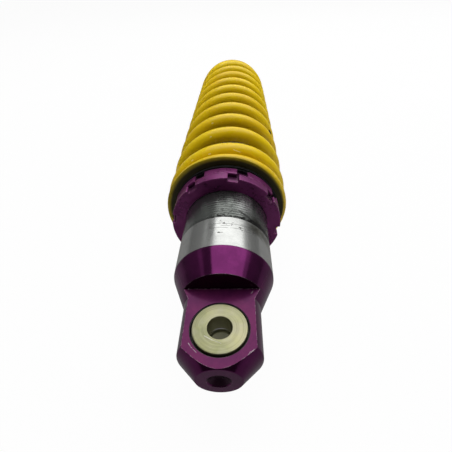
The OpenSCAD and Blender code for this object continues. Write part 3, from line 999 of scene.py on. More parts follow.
@dataclass(frozen=True)
class Finish:
    """What every finish has: its material's name and the name of its slot."""

    name: str
    slot: str

    def start(self) -> tuple[Coat, Graph, bpy.types.Node]:
        """Starts the material.

        Returns:
            The coat, the material's graph and its shader.
        """
        made = bpy.data.materials.new(self.name)
        made.use_nodes = True
        shader = made.node_tree.nodes["Principled BSDF"]
        return Coat(made, self.slot), Graph(made.node_tree), shader

    @staticmethod
    def bump(g: Graph, shader: bpy.types.Node, height: Value, relief: float) -> None:
        """Feeds a relief to the shader's normal.

        Args:
            g: Graph of the material.
            shader: Its shader.
            height: Height, from 0 to 1.
            relief: Height of a 1, in millimetres.
        """
        made = g.node("ShaderNodeBump")
        g.supply(made, {"Strength": 1.0, "Distance": relief * MM, "Height": height})
        g.feed(made.outputs[0], shader.inputs["Normal"])

    @staticmethod
    def scratches(g: Graph, effects: Effects, place: Value,
                  marks: Sequence[Scratch]) -> Value:
        """Masks several scratches.

        Args:
            g: Graph of the material.
            effects: The shared effects.
            place: Place on the object.
            marks: The scratches.

        Returns:
            The mask.
        """
        return g.most(*(g.effect(effects.scratch, vector=place, start=mark.start,
                                 end=mark.end, width=mark.width) for mark in marks))


@dataclass(frozen=True)
class Anodised(Finish):
    """Glossy dyed anodising on machined aluminium, rubbed bare at its edges."""

    deep: Color = (0.115, 0.013, 0.088)
    bright: Color = (0.165, 0.020, 0.125)
    bare: Color = (0.62, 0.56, 0.58)
    roughness: float = 0.15
    wear: float = 0.5
    wear_reach: float = 0.35
    wear_breaks: float = 0.55
    worn_roughness: float = 0.25
    worn_depth: float = 2.0
    metallic: float = 1.0
    gloss: float = 0.2
    coat: float = 0.15
    coat_roughness: float = 0.12
    patches: float = 0.09
    tool_marks: float = 5.0
    relief: float = 0.004
    marks: tuple[Scratch, ...] = ()
    mark_breaks: Span = (0.40, 0.58, 0.1, 0.5)
    faces: Optional[MilledFaces] = None
    notch_shade: Optional[NotchShade] = None

    def build(self, effects: Effects) -> Coat:
        """Makes the material.

        Args:
            effects: The shared effects.

        Returns:
            The coat.
        """
        made, g, shader = self.start()
        place = g.place()
        tone = g.effect(effects.mottle, vector=place, scale=self.patches)
        worn = g.effect(effects.edge_wear, vector=place, radius=self.wear_reach * MM,
                        breakup=self.wear_breaks, amount=self.wear)
        # The marks are nicks and painted highlights, shown as bare metal.
        if self.marks:
            nicks_and_highlights = self.scratches(g, effects, place, self.marks)
            broken = g.span(g.noise(place, 1.5, 2.0, 0.6), *self.mark_breaks)
            worn = g.most(worn, g.times(nicks_and_highlights, broken))
        if self.faces:
            worn = self.faces.spare(g, place, worn)
        lines = g.effect(effects.turning, vector=place, density=self.tool_marks)
        color: Value = g.mix(tone, self.deep, self.bright)
        rough: Value = g.span(g.blend(tone, lines), 0.2, 0.8, self.roughness * 0.8,
                              self.roughness * 1.3, smooth=False)
        rough = g.plus(rough, g.times(worn, self.worn_roughness))
        metallic: Value = self.metallic
        if self.faces:
            color, rough, metallic = self.faces.dress(g, effects, place, tone, color, rough)
        color = g.mix(worn, color, self.bare)
        # Painted shade in the spanner notches.
        if self.notch_shade:
            color = self.notch_shade.dress(g, effects, place, color)
        g.supply(shader, {"Base Color": color, "Roughness": rough, "Metallic": metallic,
                          "Specular IOR Level": self.gloss, "Coat Weight": self.coat,
                          "Coat Roughness": self.coat_roughness})
        self.bump(g, shader, g.minus(lines, g.times(worn, self.worn_depth)), self.relief)
        return made


@dataclass(frozen=True)
class SpringPaint(Finish):
    """Thick glossy powder coat with chips down to the steel, painted glints, and bare ground
    ends painted dark for their shade.
    """

    body: Color = (0.820, 0.590, 0.005)
    warm: Color = (0.780, 0.520, 0.003)
    chip: Color = (0.030, 0.026, 0.022)
    grime: Color = (0.200, 0.120, 0.006)
    glint: Color = (0.95, 0.86, 0.36)
    # The ground faces are bare steel, painted dark and faded in from the paint's edge for the
    # shade they lie in.
    ground: Color = (0.040, 0.036, 0.008)
    ground_edge: Color = (0.560, 0.420, 0.010)
    ground_shade_r: Span = (38.6, 35.6)
    ends: tuple[float, float] = (92.9, 354.0)
    face_start: float = 0.42
    face_full: float = 0.12
    face_roughness: float = 0.4
    stain_reach: float = 2.6
    stain_depth: float = 0.45
    dust: Span = (0.60, 0.82)
    dust_depth: float = 0.35
    glint_depth: float = 0.8
    chip_depth: float = 1.4
    roughness: tuple[float, float] = (0.22, 0.32)
    gloss: float = 0.3
    coat: float = 0.05
    coat_roughness: float = 0.1
    patches: float = 0.035
    peel: float = 0.75
    relief: float = 0.06
    glints: tuple[Scratch, ...] = ()
    knocks: tuple[Scratch, ...] = ()

    def build(self, effects: Effects) -> Coat:
        """Makes the material.

        Args:
            effects: The shared effects.

        Returns:
            The coat.
        """
        made, g, shader = self.start()
        place = g.place()
        tone = g.effect(effects.mottle, vector=place, scale=self.patches)
        chips: Value = g.effect(effects.specks, vector=place, scale=0.16, size=0.11,
                                share=0.16)
        dust = g.span(g.noise(place, 0.9, 5.0, 0.7), *self.dust)
        color = g.mix(tone, self.body, self.warm)
        color = g.mix(g.times(dust, self.dust_depth), color, self.grime)
        # Painted glints, with one rub, lighten the paint.
        if self.glints:
            rubbed = self.scratches(g, effects, place, self.glints)
            color = g.mix(g.times(rubbed, self.glint_depth), color, self.glint)
        if self.knocks:
            chips = g.most(chips, self.scratches(g, effects, place, self.knocks))
        radius, _, height = g.group(effects.around_axis, vector=place)
        low, high = self.ends
        face = g.most(g.span(height, low + self.face_start, low + self.face_full),
                      g.span(height, high - self.face_start, high - self.face_full))
        stain = g.most(g.span(height, low + self.stain_reach, low),
                       g.span(height, high - self.stain_reach, high))
        color = g.mix(g.times(stain, self.stain_depth), color, self.grime)
        color = g.mix(chips, color, self.chip)
        # Painted shade on the bare ground faces, fading in from the paint's edge.
        bare = g.mix(g.span(radius, *self.ground_shade_r), self.ground_edge, self.ground)
        rough = g.plus(g.span(tone, 0.0, 1.0, *self.roughness, smooth=False),
                       g.times(face, self.face_roughness))
        g.supply(shader, {"Base Color": g.mix(face, color, bare), "Roughness": rough,
                          "Specular IOR Level": self.gloss, "Coat Weight": self.coat,
                          "Coat Roughness": self.coat_roughness})
        peel = g.noise(place, self.peel, 2.0, 0.45)
        self.bump(g, shader, g.minus(peel, g.times(chips, self.chip_depth)), self.relief)
        return made


@dataclass(frozen=True)
class TubeDamage:
    """Scores, pits and a stain on the front of the tube, below its thread."""

    scores: tuple[float, ...]
    pits: tuple[Scratch, ...]
    pit_color: Color = (0.05, 0.045, 0.04)
    stain_color: Color = (0.10, 0.095, 0.06)
    scored: Window = (-1.95, -1.75, -1.1, -0.85)
    score_width: Span = (0.26, 0.08)
    score_breaks: Span = (0.42, 0.52)
    score_wander: float = 1.6
    score_depth: float = 0.6
    stain_depth: float = 0.85
    pit_shade: float = 0.9
    pit_depth: float = 3.0
    dotted: Band = Band(45.0, 53.9, 2.5, 3.0)
    stained: Band = Band(43.0, 58.0, 8.0, 11.0)
    stained_side: Window = (-1.15, -0.85, -0.45, -0.1)

    def _scores(self, g: Graph, angle: Value, height: Value) -> Value:
        """Masks the scores round the front.

        Args:
            g: Graph of the material.
            angle: Angle about the axis.
            height: Height along the axis.

        Returns:
            The mask.
        """
        wander = g.noise(g.join(g.times(angle, 3.0), 0.0, 5.0), 1.0, 2.0, 0.5)
        level = g.plus(height, g.times(g.minus(wander, 0.5), self.score_wander))
        lines = []
        for score in self.scores:
            broken = g.noise(g.join(g.times(angle, 5.0), score, 0.0), 1.0, 2.0, 0.6)
            lines.append(g.times(g.span(g.gap(level, score), *self.score_width),
                                 g.span(broken, *self.score_breaks)))
        return g.times(g.most(*lines), g.window(angle, *self.scored), self.score_depth)

    def dress(self, g: Graph, effects: Effects, place: Value, color: Value,
              lines: Value) -> tuple[Value, Value]:
        """Adds the damage to a finish.

        Args:
            g: Graph of the material.
            effects: The shared effects.
            place: Place on the object.
            color: Colour so far.
            lines: Height of the tool marks.

        Returns:
            The colour and the height.
        """
        _, angle, height = g.group(effects.around_axis, vector=place)
        dots = g.effect(effects.specks, vector=place, scale=0.75, size=0.62, share=0.62)
        pits = g.most(g.times(dots, self.dotted.mask(g, effects, place)),
                      Finish.scratches(g, effects, place, self.pits),
                      self._scores(g, angle, height))
        stain = g.times(self.stained.mask(g, effects, place),
                        g.window(angle, *self.stained_side))
        color = g.mix(g.times(stain, self.stain_depth), color, self.stain_color)
        color = g.mix(g.times(pits, self.pit_shade), color, self.pit_color)
        return color, g.minus(lines, g.times(pits, self.pit_depth))


@dataclass(frozen=True)
class TurnedAluminium(Finish):
    """Turned bare aluminium with tool rings, which may be damaged."""

    light: Color = (0.66, 0.67, 0.66)
    dull: Color = (0.50, 0.51, 0.50)
    roughness: float = 0.24
    tool_marks: float = 3.5
    patches: float = 0.06
    relief: float = 0.008
    damage: Optional[TubeDamage] = None

    def build(self, effects: Effects) -> Coat:
        """Makes the material.

        Args:
            effects: The shared effects.

        Returns:
            The coat.
        """
        made, g, shader = self.start()
        place = g.place()
        lines = g.effect(effects.turning, vector=place, density=self.tool_marks)
        tone = g.effect(effects.mottle, vector=place, scale=self.patches)
        mixed = g.blend(tone, lines)
        color: Value = g.mix(mixed, self.light, self.dull)
        height: Value = lines
        if self.damage:
            color, height = self.damage.dress(g, effects, place, color, lines)
        rough = g.span(mixed, 0.3, 0.7, self.roughness * 0.85, self.roughness * 1.25,
                       smooth=False)
        g.supply(shader, {"Base Color": color, "Roughness": rough, "Metallic": 1.0})
        self.bump(g, shader, height, self.relief)
        return made


@dataclass(frozen=True)
class WornThread(Finish):
    """Thread rubbed flat by the rings, with old grease on it, a painted highlight in front
    and painted shade behind the spring's coils.
    """

    crest: Color = (0.215, 0.230, 0.215)
    rubbed: Color = (0.140, 0.152, 0.140)
    root: Color = (0.050, 0.054, 0.050)
    painted_highlight: Color = (0.46, 0.475, 0.46)
    grime: Color = (0.012, 0.012, 0.011)
    smudge: Color = (0.030, 0.027, 0.012)
    metallic: float = 0.9
    roughness: Span = (0.15, 0.9, 0.18, 0.50)
    relief: float = 0.009
    crest_r: Span = (24.45, 24.85)
    torn_side: Span = (-1.58, -1.38)
    torn_ragged: float = 0.35
    torn_dashes: Span = (0.47, 0.62, 0.0, 0.75)
    # A painted highlight on the front of the thread, to the right, stronger higher up.
    highlight_side: Window = (-1.40, -1.12, -0.98, -0.84)
    highlight_height: Span = (59.0, 67.0, 0.35, 1.0)
    # Painted shade on the thread behind the spring's coils, in the grease's colour.
    coil_shade: Band = Band(135.0, 159.0, 6.0, 3.0)
    coil_shade_depth: float = 0.93
    edge: Band = Band(50.0, 56.1, 0.5, 3.4)
    edge_right: Span = (-1.30, -0.80)
    edge_climb: float = 1.6
    tear: Band = Band(59.0, 61.2, 0.9, 3.2)
    tear_side: Window = (-1.30, -1.22, -0.90, -0.82)
    tear_middle: float = -1.215
    tear_slope: float = 12.0
    tear_depth: float = 0.8
    smear: Band = Band(53.0, 64.0, 7.0, 8.0)
    left_end: Span = (-1.95, -1.70, 0.15, 1.0)
    right_end: Span = (0.3, 0.8, 1.0, 0.3)
    smudged: Band = Band(50.0, 62.0, 5.0, 5.0)
    smudged_side: Window = (-1.05, -0.75, -0.35, -0.1)
    smudge_depth: float = 0.9

    @staticmethod
    def _streaks(g: Graph, angle: Value, height: Value, across: float, along: float,
                 layer: float, roughness: float) -> Socket:
        """Draws noise that is stretched round the thread.

        Args:
            g: Graph of the material.
            angle: Angle about the axis.
            height: Height along the axis.
            across: Patches to a radian.
            along: Patches to a millimetre.
            layer: Tells one pattern from another.
            roughness: Weight of the finer layers.

        Returns:
            The noise.
        """
        place = g.join(g.times(angle, across), g.times(height, along), layer)
        return g.noise(place, 1.0, 3.0, roughness)

    def _grime(self, g: Graph, effects: Effects, place: Value) -> Value:
        """Masks the dried grease along the thread's lower edge.

        Args:
            g: Graph of the material.
            effects: The shared effects.
            place: Place on the object.

        Returns:
            The mask.
        """
        _, angle, height = g.group(effects.around_axis, vector=place)
        grain = g.noise(place, 1.3, 4.0, 0.65)
        clumps = self._streaks(g, angle, height, 9.0, 0.7, 2.0, 0.7)
        right = g.span(angle, *self.edge_right)
        line = self.edge.mask(g, effects, place, g.times(right, self.edge_climb))
        broken = g.most(g.span(clumps, 0.42, 0.50), g.times(right, 0.85))
        slope = g.times(g.minus(angle, self.tear_middle), self.tear_slope)
        sloping = g.vector("ADD", place, g.join(0.0, 0.0, slope))
        tear = g.times(self.tear.mask(g, effects, sloping),
                       g.window(angle, *self.tear_side))
        smear = self.smear.mask(g, effects, place)
        dirty = g.most(g.times(smear, g.span(clumps, 0.54, 0.64)),
                       g.times(smear, g.span(grain, 0.56, 0.66)))
        side = g.times(g.span(angle, *self.left_end), g.span(angle, *self.right_end))
        grime = g.most(g.times(line, broken), dirty, g.times(tear, self.tear_depth))
        return g.times(grime, side)

    def build(self, effects: Effects) -> Coat:
        """Makes the material.

        Args:
            effects: The shared effects.

        Returns:
            The coat.
        """
        made, g, shader = self.start()
        place = g.place()
        radius, angle, height = g.group(effects.around_axis, vector=place)
        fine = self._streaks(g, angle, height, 3.0, 3.2, 0.0, 0.6)
        dashes = self._streaks(g, angle, height, 11.0, 1.35, 7.0, 0.65)
        torn = g.times(g.span(g.plus(angle, g.times(dashes, self.torn_ragged)),
                              *self.torn_side), g.span(dashes, *self.torn_dashes))
        crest = g.mix(g.span(fine, 0.40, 0.62), self.crest, self.rubbed)
        crest = g.mix(torn, crest, self.root)
        color = g.mix(g.span(radius, *self.crest_r), self.root, crest)
        # Painted highlight on the front right of the thread.
        bare = g.times(g.window(angle, *self.highlight_side),
                       g.span(height, *self.highlight_height, smooth=False))
        color = g.mix(bare, color, self.painted_highlight)
        # Painted shade behind the spring's coils.
        coil_shade = self.coil_shade.mask(g, effects, place)
        color = g.mix(g.times(coil_shade, self.coil_shade_depth), color, self.grime)
        smudge = g.times(self.smudged.mask(g, effects, place),
                         g.window(angle, *self.smudged_side))
        color = g.mix(g.times(smudge, self.smudge_depth), color, self.smudge)
        grime = self._grime(g, effects, place)
        rough = g.span(g.plus(g.blend(fine, torn), g.times(grime, 0.4)), *self.roughness,
                       smooth=False)
        g.supply(shader, {"Base Color": g.mix(grime, color, self.grime), "Roughness": rough,
                          "Metallic": self.metallic})
        self.bump(g, shader, g.minus(fine, torn), self.relief)
        return made


@dataclass(frozen=True)
class YellowZinc(Finish):
    """Pale yellow zinc plating over turned steel, with greenish and grey tints, and painted
    shade in its bore, lighter on the lit far wall.
    """

    straw: Color = (0.46, 0.44, 0.24)
    green: Color = (0.28, 0.30, 0.14)
    grey: Color = (0.40, 0.38, 0.31)
    dull: Color = (0.19, 0.18, 0.10)
    # The bore's painted shade, and its far wall painted lighter where light falls on it.
    shaded_bore: Color = (0.34, 0.33, 0.20)
    lit_bore: Color = (0.58, 0.57, 0.38)
    rubbed: Color = (0.74, 0.72, 0.62)
    green_side: Span = (-8.0, 9.0, 0.0, 0.55)
    dull_rings: Span = (0.42, 0.62, 0.0, 0.42)
    bore_r: Span = (5.25, 5.12)
    roughness: Span = (0.3, 0.7, 0.30, 0.42)
    metallic: float = 0.85
    tool_marks: float = 2.6
    relief: float = 0.012
    marks: tuple[Scratch, ...] = ()

    def build(self, effects: Effects) -> Coat:
        """Makes the material.

        Args:
            effects: The shared effects.

        Returns:
            The coat.
        """
        made, g, shader = self.start()
        place = g.place()
        x, y, z = g.split(place)
        rings = g.effect(effects.turning, vector=g.join(x, z, y), density=self.tool_marks)
        tint = g.effect(effects.mottle, vector=place, scale=0.10)
        elsewhere = g.vector("ADD", place, (31.0, 7.0, 55.0))
        other = g.effect(effects.mottle, vector=elsewhere, scale=0.07)
        across = g.minus(g.times(z, -0.6), x)
        green = g.plus(g.times(tint, 0.55), g.span(across, *self.green_side))
        color = g.mix(g.math("MINIMUM", green, 1.0), self.straw, self.green)
        color = g.mix(g.times(other, 0.55), color, self.grey)
        color = g.mix(g.span(rings, *self.dull_rings), color, self.dull)
        # Painted shade in the bore, lighter on the far wall.
        bore = g.span(g.length(x, 0.0, z), *self.bore_r)
        color = g.mix(bore, color, g.mix(g.span(y, -2.0, 2.0), self.shaded_bore, self.lit_bore))
        height: Value = rings
        if self.marks:
            rubbed = self.scratches(g, effects, place, self.marks)
            color = g.mix(g.times(rubbed, 0.6), color, self.rubbed)
            height = g.minus(rings, g.times(rubbed, 4.0))
        g.supply(shader, {"Base Color": color, "Metallic": self.metallic,
                          "Roughness": g.span(rings, *self.roughness, smooth=False)})
        self.bump(g, shader, height, self.relief)
        return made


@dataclass(frozen=True)
class PlainMetal(Finish):
    """Steel, chrome or bronze with fine tool marks and soft wear."""

    light: Color = (0.55, 0.56, 0.57)
    dark: Color = (0.40, 0.41, 0.42)
    roughness: float = 0.25
    tool_marks: float = 4.0
    patches: float = 0.12
    relief: float = 0.004

    def build(self, effects: Effects) -> Coat:
        """Makes the material.

        Args:
            effects: The shared effects.

        Returns:
            The coat.
        """
        made, g, shader = self.start()
        place = g.place()
        lines = g.effect(effects.turning, vector=place, density=self.tool_marks)
        tone = g.effect(effects.mottle, vector=place, scale=self.patches)
        rough = g.span(g.plus(tone, lines), 0.4, 1.5, self.roughness * 0.75,
                       self.roughness * 1.3, smooth=False)
        g.supply(shader, {"Base Color": g.mix(tone, self.light, self.dark),
                          "Roughness": rough, "Metallic": 1.0})
        self.bump(g, shader, lines, self.relief)
        return made


@dataclass(frozen=True)
class Elastomer(Finish):
    """Rubber, foam or moulded polymer with a fine grain."""

    light: Color = (0.028, 0.027, 0.027)
    dark: Color = (0.012, 0.012, 0.012)
    roughness: float = 0.6
    grain: float = 2.5
    relief: float = 0.03
    gloss: float = 0.5
    patches: float = 0.15

    def build(self, effects: Effects) -> Coat:
        """Makes the material.

        Args:
            effects: The shared effects.

        Returns:
            The coat.
        """
        made, g, shader = self.start()
        place = g.place()
        tone = g.effect(effects.mottle, vector=place, scale=self.patches)
        grain = g.noise(place, self.grain, 4.0, 0.6)
        rough = g.span(grain, 0.3, 0.7, self.roughness * 0.85,
                       min(1.0, self.roughness * 1.2), smooth=False)
        g.supply(shader, {"Base Color": g.mix(tone, self.dark, self.light),
                          "Roughness": rough, "Specular IOR Level": self.gloss})
        self.bump(g, shader, grain, self.relief)
        return made


class Finishes:
    """Every finish of the strut, built once."""

    def __init__(self) -> None:
        """Builds the effects and the materials."""
        effects = Effects()
        self.purple = Anodised("purple_anodised", "purple_anodised").build(effects)
        # On the rings the worn edges are pink and wide: partly wear, partly a painted
        # highlight along the rounded edges.
        self.purple_rings = Anodised(
            "purple_anodised_rings", "purple_anodised", deep=(0.175, 0.028, 0.132),
            bright=(0.250, 0.044, 0.185), bare=(0.46, 0.26, 0.38), roughness=0.30, wear=0.8,
            wear_reach=0.9, metallic=0.6, notch_shade=NotchShade()).build(effects)
        self.purple_eye = Anodised("purple_anodised_eye", "purple_anodised",
                                   faces=MilledFaces(), marks=EYE_NICKS_AND_HIGHLIGHTS).build(effects)
        self.paint = SpringPaint("spring_paint", "spring_paint", glints=SPRING_GLINTS,
                                 knocks=SPRING_KNOCKS).build(effects)
        self.tube = TurnedAluminium(
            "turned_tube", "turned_aluminium", light=(0.70, 0.71, 0.69),
            dull=(0.56, 0.57, 0.55), roughness=0.21,
            damage=TubeDamage(TUBE_SCORES, TUBE_PITS)).build(effects)
        self.aluminium = TurnedAluminium("turned_aluminium",
                                         "turned_aluminium").build(effects)
        self.thread = WornThread("worn_thread", "turned_aluminium").build(effects)
        self.zinc = YellowZinc("yellow_zinc", "yellow_zinc",
                               marks=BUSH_SCRAPES).build(effects)
        self.chrome = PlainMetal("hard_chrome", "hard_chrome", light=(0.76, 0.77, 0.79),
                                 dark=(0.70, 0.71, 0.73), roughness=0.08, tool_marks=8.0,
                                 relief=0.001).build(effects)
        self.steel = PlainMetal("bright_steel", "bright_steel").build(effects)
        self.dark_steel = PlainMetal("dark_steel", "dark_steel", light=(0.085, 0.085, 0.09),
                                     dark=(0.045, 0.045, 0.05),
                                     roughness=0.38).build(effects)
        self.bronze = PlainMetal("bronze", "bronze", light=(0.55, 0.34, 0.15),
                                 dark=(0.40, 0.24, 0.10), roughness=0.3).build(effects)
        self.rubber = Elastomer("black_rubber", "black_rubber", light=(0.022, 0.016, 0.018),
                                dark=(0.010, 0.007, 0.008), roughness=0.45).build(effects)
        self.foam = Elastomer("bump_foam", "bump_foam", light=(0.035, 0.034, 0.033),
                              dark=(0.016, 0.016, 0.016), roughness=0.85, grain=1.6,
                              relief=0.12).build(effects)
        self.polymer = Elastomer("black_polymer", "black_polymer",
                                 light=(0.015, 0.015, 0.016), dark=(0.010, 0.010, 0.010),
                                 roughness=0.55, grain=3.0, relief=0.02,
                                 gloss=0.25).build(effects)


# --------------------------------------------------------------------------- pieces


def dress_nodes(coat: Coat, *nodes: str) -> None:
    """Gives nodes of the frame a finish in place of their plain one.

    Args:
        coat: The finish.
        nodes: Names of the nodes.
    """
    for node in nodes:
        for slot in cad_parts[node].material_slots:
            slot.material = coat.material
        log.info("%s: dressed in %s", node, coat.material.name)


def fit_piece(made: bpy.types.Object, body: str, coat: Coat, *nodes: str) -> None:
    """Finishes a new piece: its material, body and the nodes it stands for.

    Args:
        made: The new piece.
        body: Body that it rides on.
        coat: Its finish; a piece that has materials already keeps them.
        nodes: Nodes that it stands for.
    """
    if not made.data.materials:
        made.data.materials.append(coat.material)
    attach(made, body)
    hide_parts(*nodes)
    log.info("%s: %d faces, for %s", made.name, len(made.data.polygons), ", ".join(nodes))


@dataclass
class EyeShape:
    """Sizes that both eyes share, in millimetres from the bolt axis."""

    width: float = 19.4
    neck_r: float = 17.65
    nose_h: float = 16.8
    nose_end_r: float = 9.4
    nose_edge_h: float = 8.257
    shoulder_h: float = 20.0
    neck_top_h: float = 14.79
    cone_h: float = 32.8
    tube_r: float = 25.0
    cone_arc: tuple[Point, ...] = (
        (24.762, 31.633), (24.894, 32.013), (24.973, 32.404), (25.0, 32.8))
    seal_recess_r: float = 12.45
    housing_half: float = 6.0
    bore_r: float = 10.2
    centre_r: float = 5.0
    centre_depth: float = 2.5
    beyond: float = 40.0
    edge: float = 0.4

    def blank(self, name: str, tail: Sequence[Corner]) -> bpy.types.Object:
        """Turns the eye's outside.

        Args:
            name: Name of the piece.
            tail: Corners that close the profile after the cone.

        Returns:
            The piece, still to be cut.
        """
        corners: list[Corner] = [
            (0, -self.nose_h, 0), (self.nose_end_r, -self.nose_h, 0.5),
            (self.neck_r, -self.nose_edge_h, 1.2), (self.neck_r, self.neck_top_h, 1.0),
        ]
        corners += [(r, h, 0) for r, h in self.cone_arc]
        corners += tail
        return turned(name, corners, 224, steps=5)

    def cutters(self) -> list[bpy.types.Object]:
        """Makes the cutters for the flats, the bearing's housing and the turning centre.

        Returns:
            The cutters.
        """
        far, half = self.beyond, self.width / 2
        end, floor = -self.nose_h, -self.nose_h + self.centre_depth
        return [
            box_cutter((-far, -far, -far), (far, -half, self.shoulder_h)),
            box_cutter((-far, half, -far), (far, far, self.shoulder_h)),
            rod_cutter((0, -far, 0), (0, far, 0), self.bore_r, 128),
            rod_cutter((0, -far, 0), (0, -self.housing_half, 0), self.seal_recess_r, 160),
            rod_cutter((0, self.housing_half, 0), (0, far, 0), self.seal_recess_r, 160),
            turned("cutter", [
                (0, end - 1, 0), (self.centre_r + 1, end - 1, 0), (self.centre_r, end, 0),
                (self.centre_r - self.centre_depth, floor, 0), (0, floor, 0)], 96),
        ]


@dataclass
class BodyEye:
    """The eye that closes the tube's lower end, with its gas port."""

    finishes: Finishes
    shape: EyeShape = field(default_factory=EyeShape)
    spigot_r: float = 20.98
    spigot_end: float = 44.8
    port_start: Place = (0, 14.2, 10)
    port_end: Place = (0, 14.2, 50)
    port_r: float = 2.5

    def build(self) -> None:
        """Makes the eye and dresses the pieces in it."""
        finishes = self.finishes
        made = self.shape.blank("body_eye_housing", [
            (self.spigot_r, self.shape.cone_h, 0), (self.spigot_r, self.spigot_end, 0.5),
            (0, self.spigot_end, 0)])
        port = rod_cutter(self.port_start, self.port_end, self.port_r, 48)
        cut(made, [*self.shape.cutters(), port])
        soften(made, self.shape.edge)
        fit_piece(made, "damper_body", finishes.purple_eye, "body_eye")
        dress_nodes(finishes.rubber, "cap_seal_ring")
        dress_nodes(finishes.dark_steel, "gas_fill_screw")
        dress_nodes(finishes.bronze, "gas_fill_washer")


@dataclass
class RodEye:
    """The eye on the rod, with the socket for the adjuster."""

    finishes: Finishes
    eye_z: float = 400.0
    shape: EyeShape = field(default_factory=EyeShape)
    shoulder: float = 40.0
    spigot_r: float = 22.0
    spigot_end: float = 46.0
    rod_hole_start: Place = (0, 0, 23.96)
    rod_hole_end: Place = (0, 0, 60)
    rod_hole_r: float = 7.02
    socket_start: Place = (-2.7, 0, 21.0)
    socket_end: Place = (40, 0, 21.0)
    socket_r: float = 2.46

    def build(self) -> None:
        """Makes the eye, standing upside down at the rod's end."""
        made = self.shape.blank("rod_eye_housing", [
            (self.shape.tube_r, self.shoulder, 0.5), (self.spigot_r, self.shoulder, 0),
            (self.spigot_r, self.spigot_end, 0.4), (0, self.spigot_end, 0)])
        holes = [
            rod_cutter(self.rod_hole_start, self.rod_hole_end, self.rod_hole_r, 64),
            rod_cutter(self.socket_start, self.socket_end, self.socket_r, 48),
        ]
        cut(made, [*self.shape.cutters(), *holes])
        lift(made, self.eye_z, upside_down=True)
        soften(made, self.shape.edge)
        fit_piece(made, "rod", self.finishes.purple, "rod_eye")


class Side(Enum):
    """Side of an eye."""

    FRONT = "front"
    BACK = "back"


@dataclass
class EyeBearing:
    """Bushes, seals, ball and race of one eye, in millimetres from its bolt axis."""

    finishes: Finishes
    prefix: str
    housing_body: str
    eye_z: float
    face: float = 10.25
    flange_t: float = 2.4
    flange_r: float = 11.45
    bolt_r: float = 5.1
    nose_r: float = 5.95
    nose_end: float = 1.6
    barrel_r: float = 7.48
    barrel_end: float = 5.03
    seal_profile: tuple[Corner, ...] = (
        (8.38, 6.02, 0.15), (12.43, 6.02, 0.1), (12.43, 9.3, 0.12), (12.06, 9.3, 0.12),
        (12.06, 7.0, 0.2), (8.38, 7.0, 0.3))

    def _bush(self, side: Side) -> bpy.types.Object:
        """Turns one stepped bush.

        Args:
            side: Side of the eye.

        Returns:
            The bush.
        """
        back = self.face - self.flange_t
        made = lathe(f"{self.prefix}_{side.value}_bush_piece", [
            (self.bolt_r, self.nose_end, 0.15), (self.nose_r, self.nose_end, 0.2),
            (self.nose_r, self.barrel_end, 0), (self.barrel_r, self.barrel_end, 0.1),
            (self.barrel_r, back, 0.2), (self.flange_r, back, 0.2),
            (self.flange_r, self.face, 0.45), (self.bolt_r, self.face, 0.3)], axis=Turn.Y)
        lift(made, self.eye_z, upside_down=side is Side.FRONT)
        return made

    def _seals(self) -> bpy.types.Object:
        """Turns the two lipped dust seals as one piece.

        Returns:
            The piece.
        """
        made = lathe(f"{self.prefix}_seal_piece", self.seal_profile, axis=Turn.Y)
        build = bmesh.new()
        build.from_mesh(made.data)
        copy = bmesh.ops.duplicate(build, geom=[*build.verts, *build.edges, *build.faces])
        verts = [part for part in copy["geom"] if isinstance(part, bmesh.types.BMVert)]
        bmesh.ops.rotate(build, verts=verts, matrix=Matrix.Rotation(math.pi, 3, "X"))
        bmesh.ops.translate(build, verts=build.verts, vec=(0, 0, self.eye_z * MM))
        store(build, made.data)
        return made

    def build(self) -> None:
        """Makes the bushes and seals, and dresses the bearing behind them."""
        finishes = self.finishes
        for side in Side:
            fit_piece(self._bush(side), f"{self.prefix}_bushes", finishes.zinc,
                      f"{self.prefix}_{side.value}_bush")
        fit_piece(self._seals(), self.housing_body, finishes.rubber,
                  f"{self.prefix}_eye_seals")
        dress_nodes(finishes.dark_steel, f"{self.prefix}_race", f"{self.prefix}_race_circlip")
        dress_nodes(finishes.chrome, f"{self.prefix}_ball")


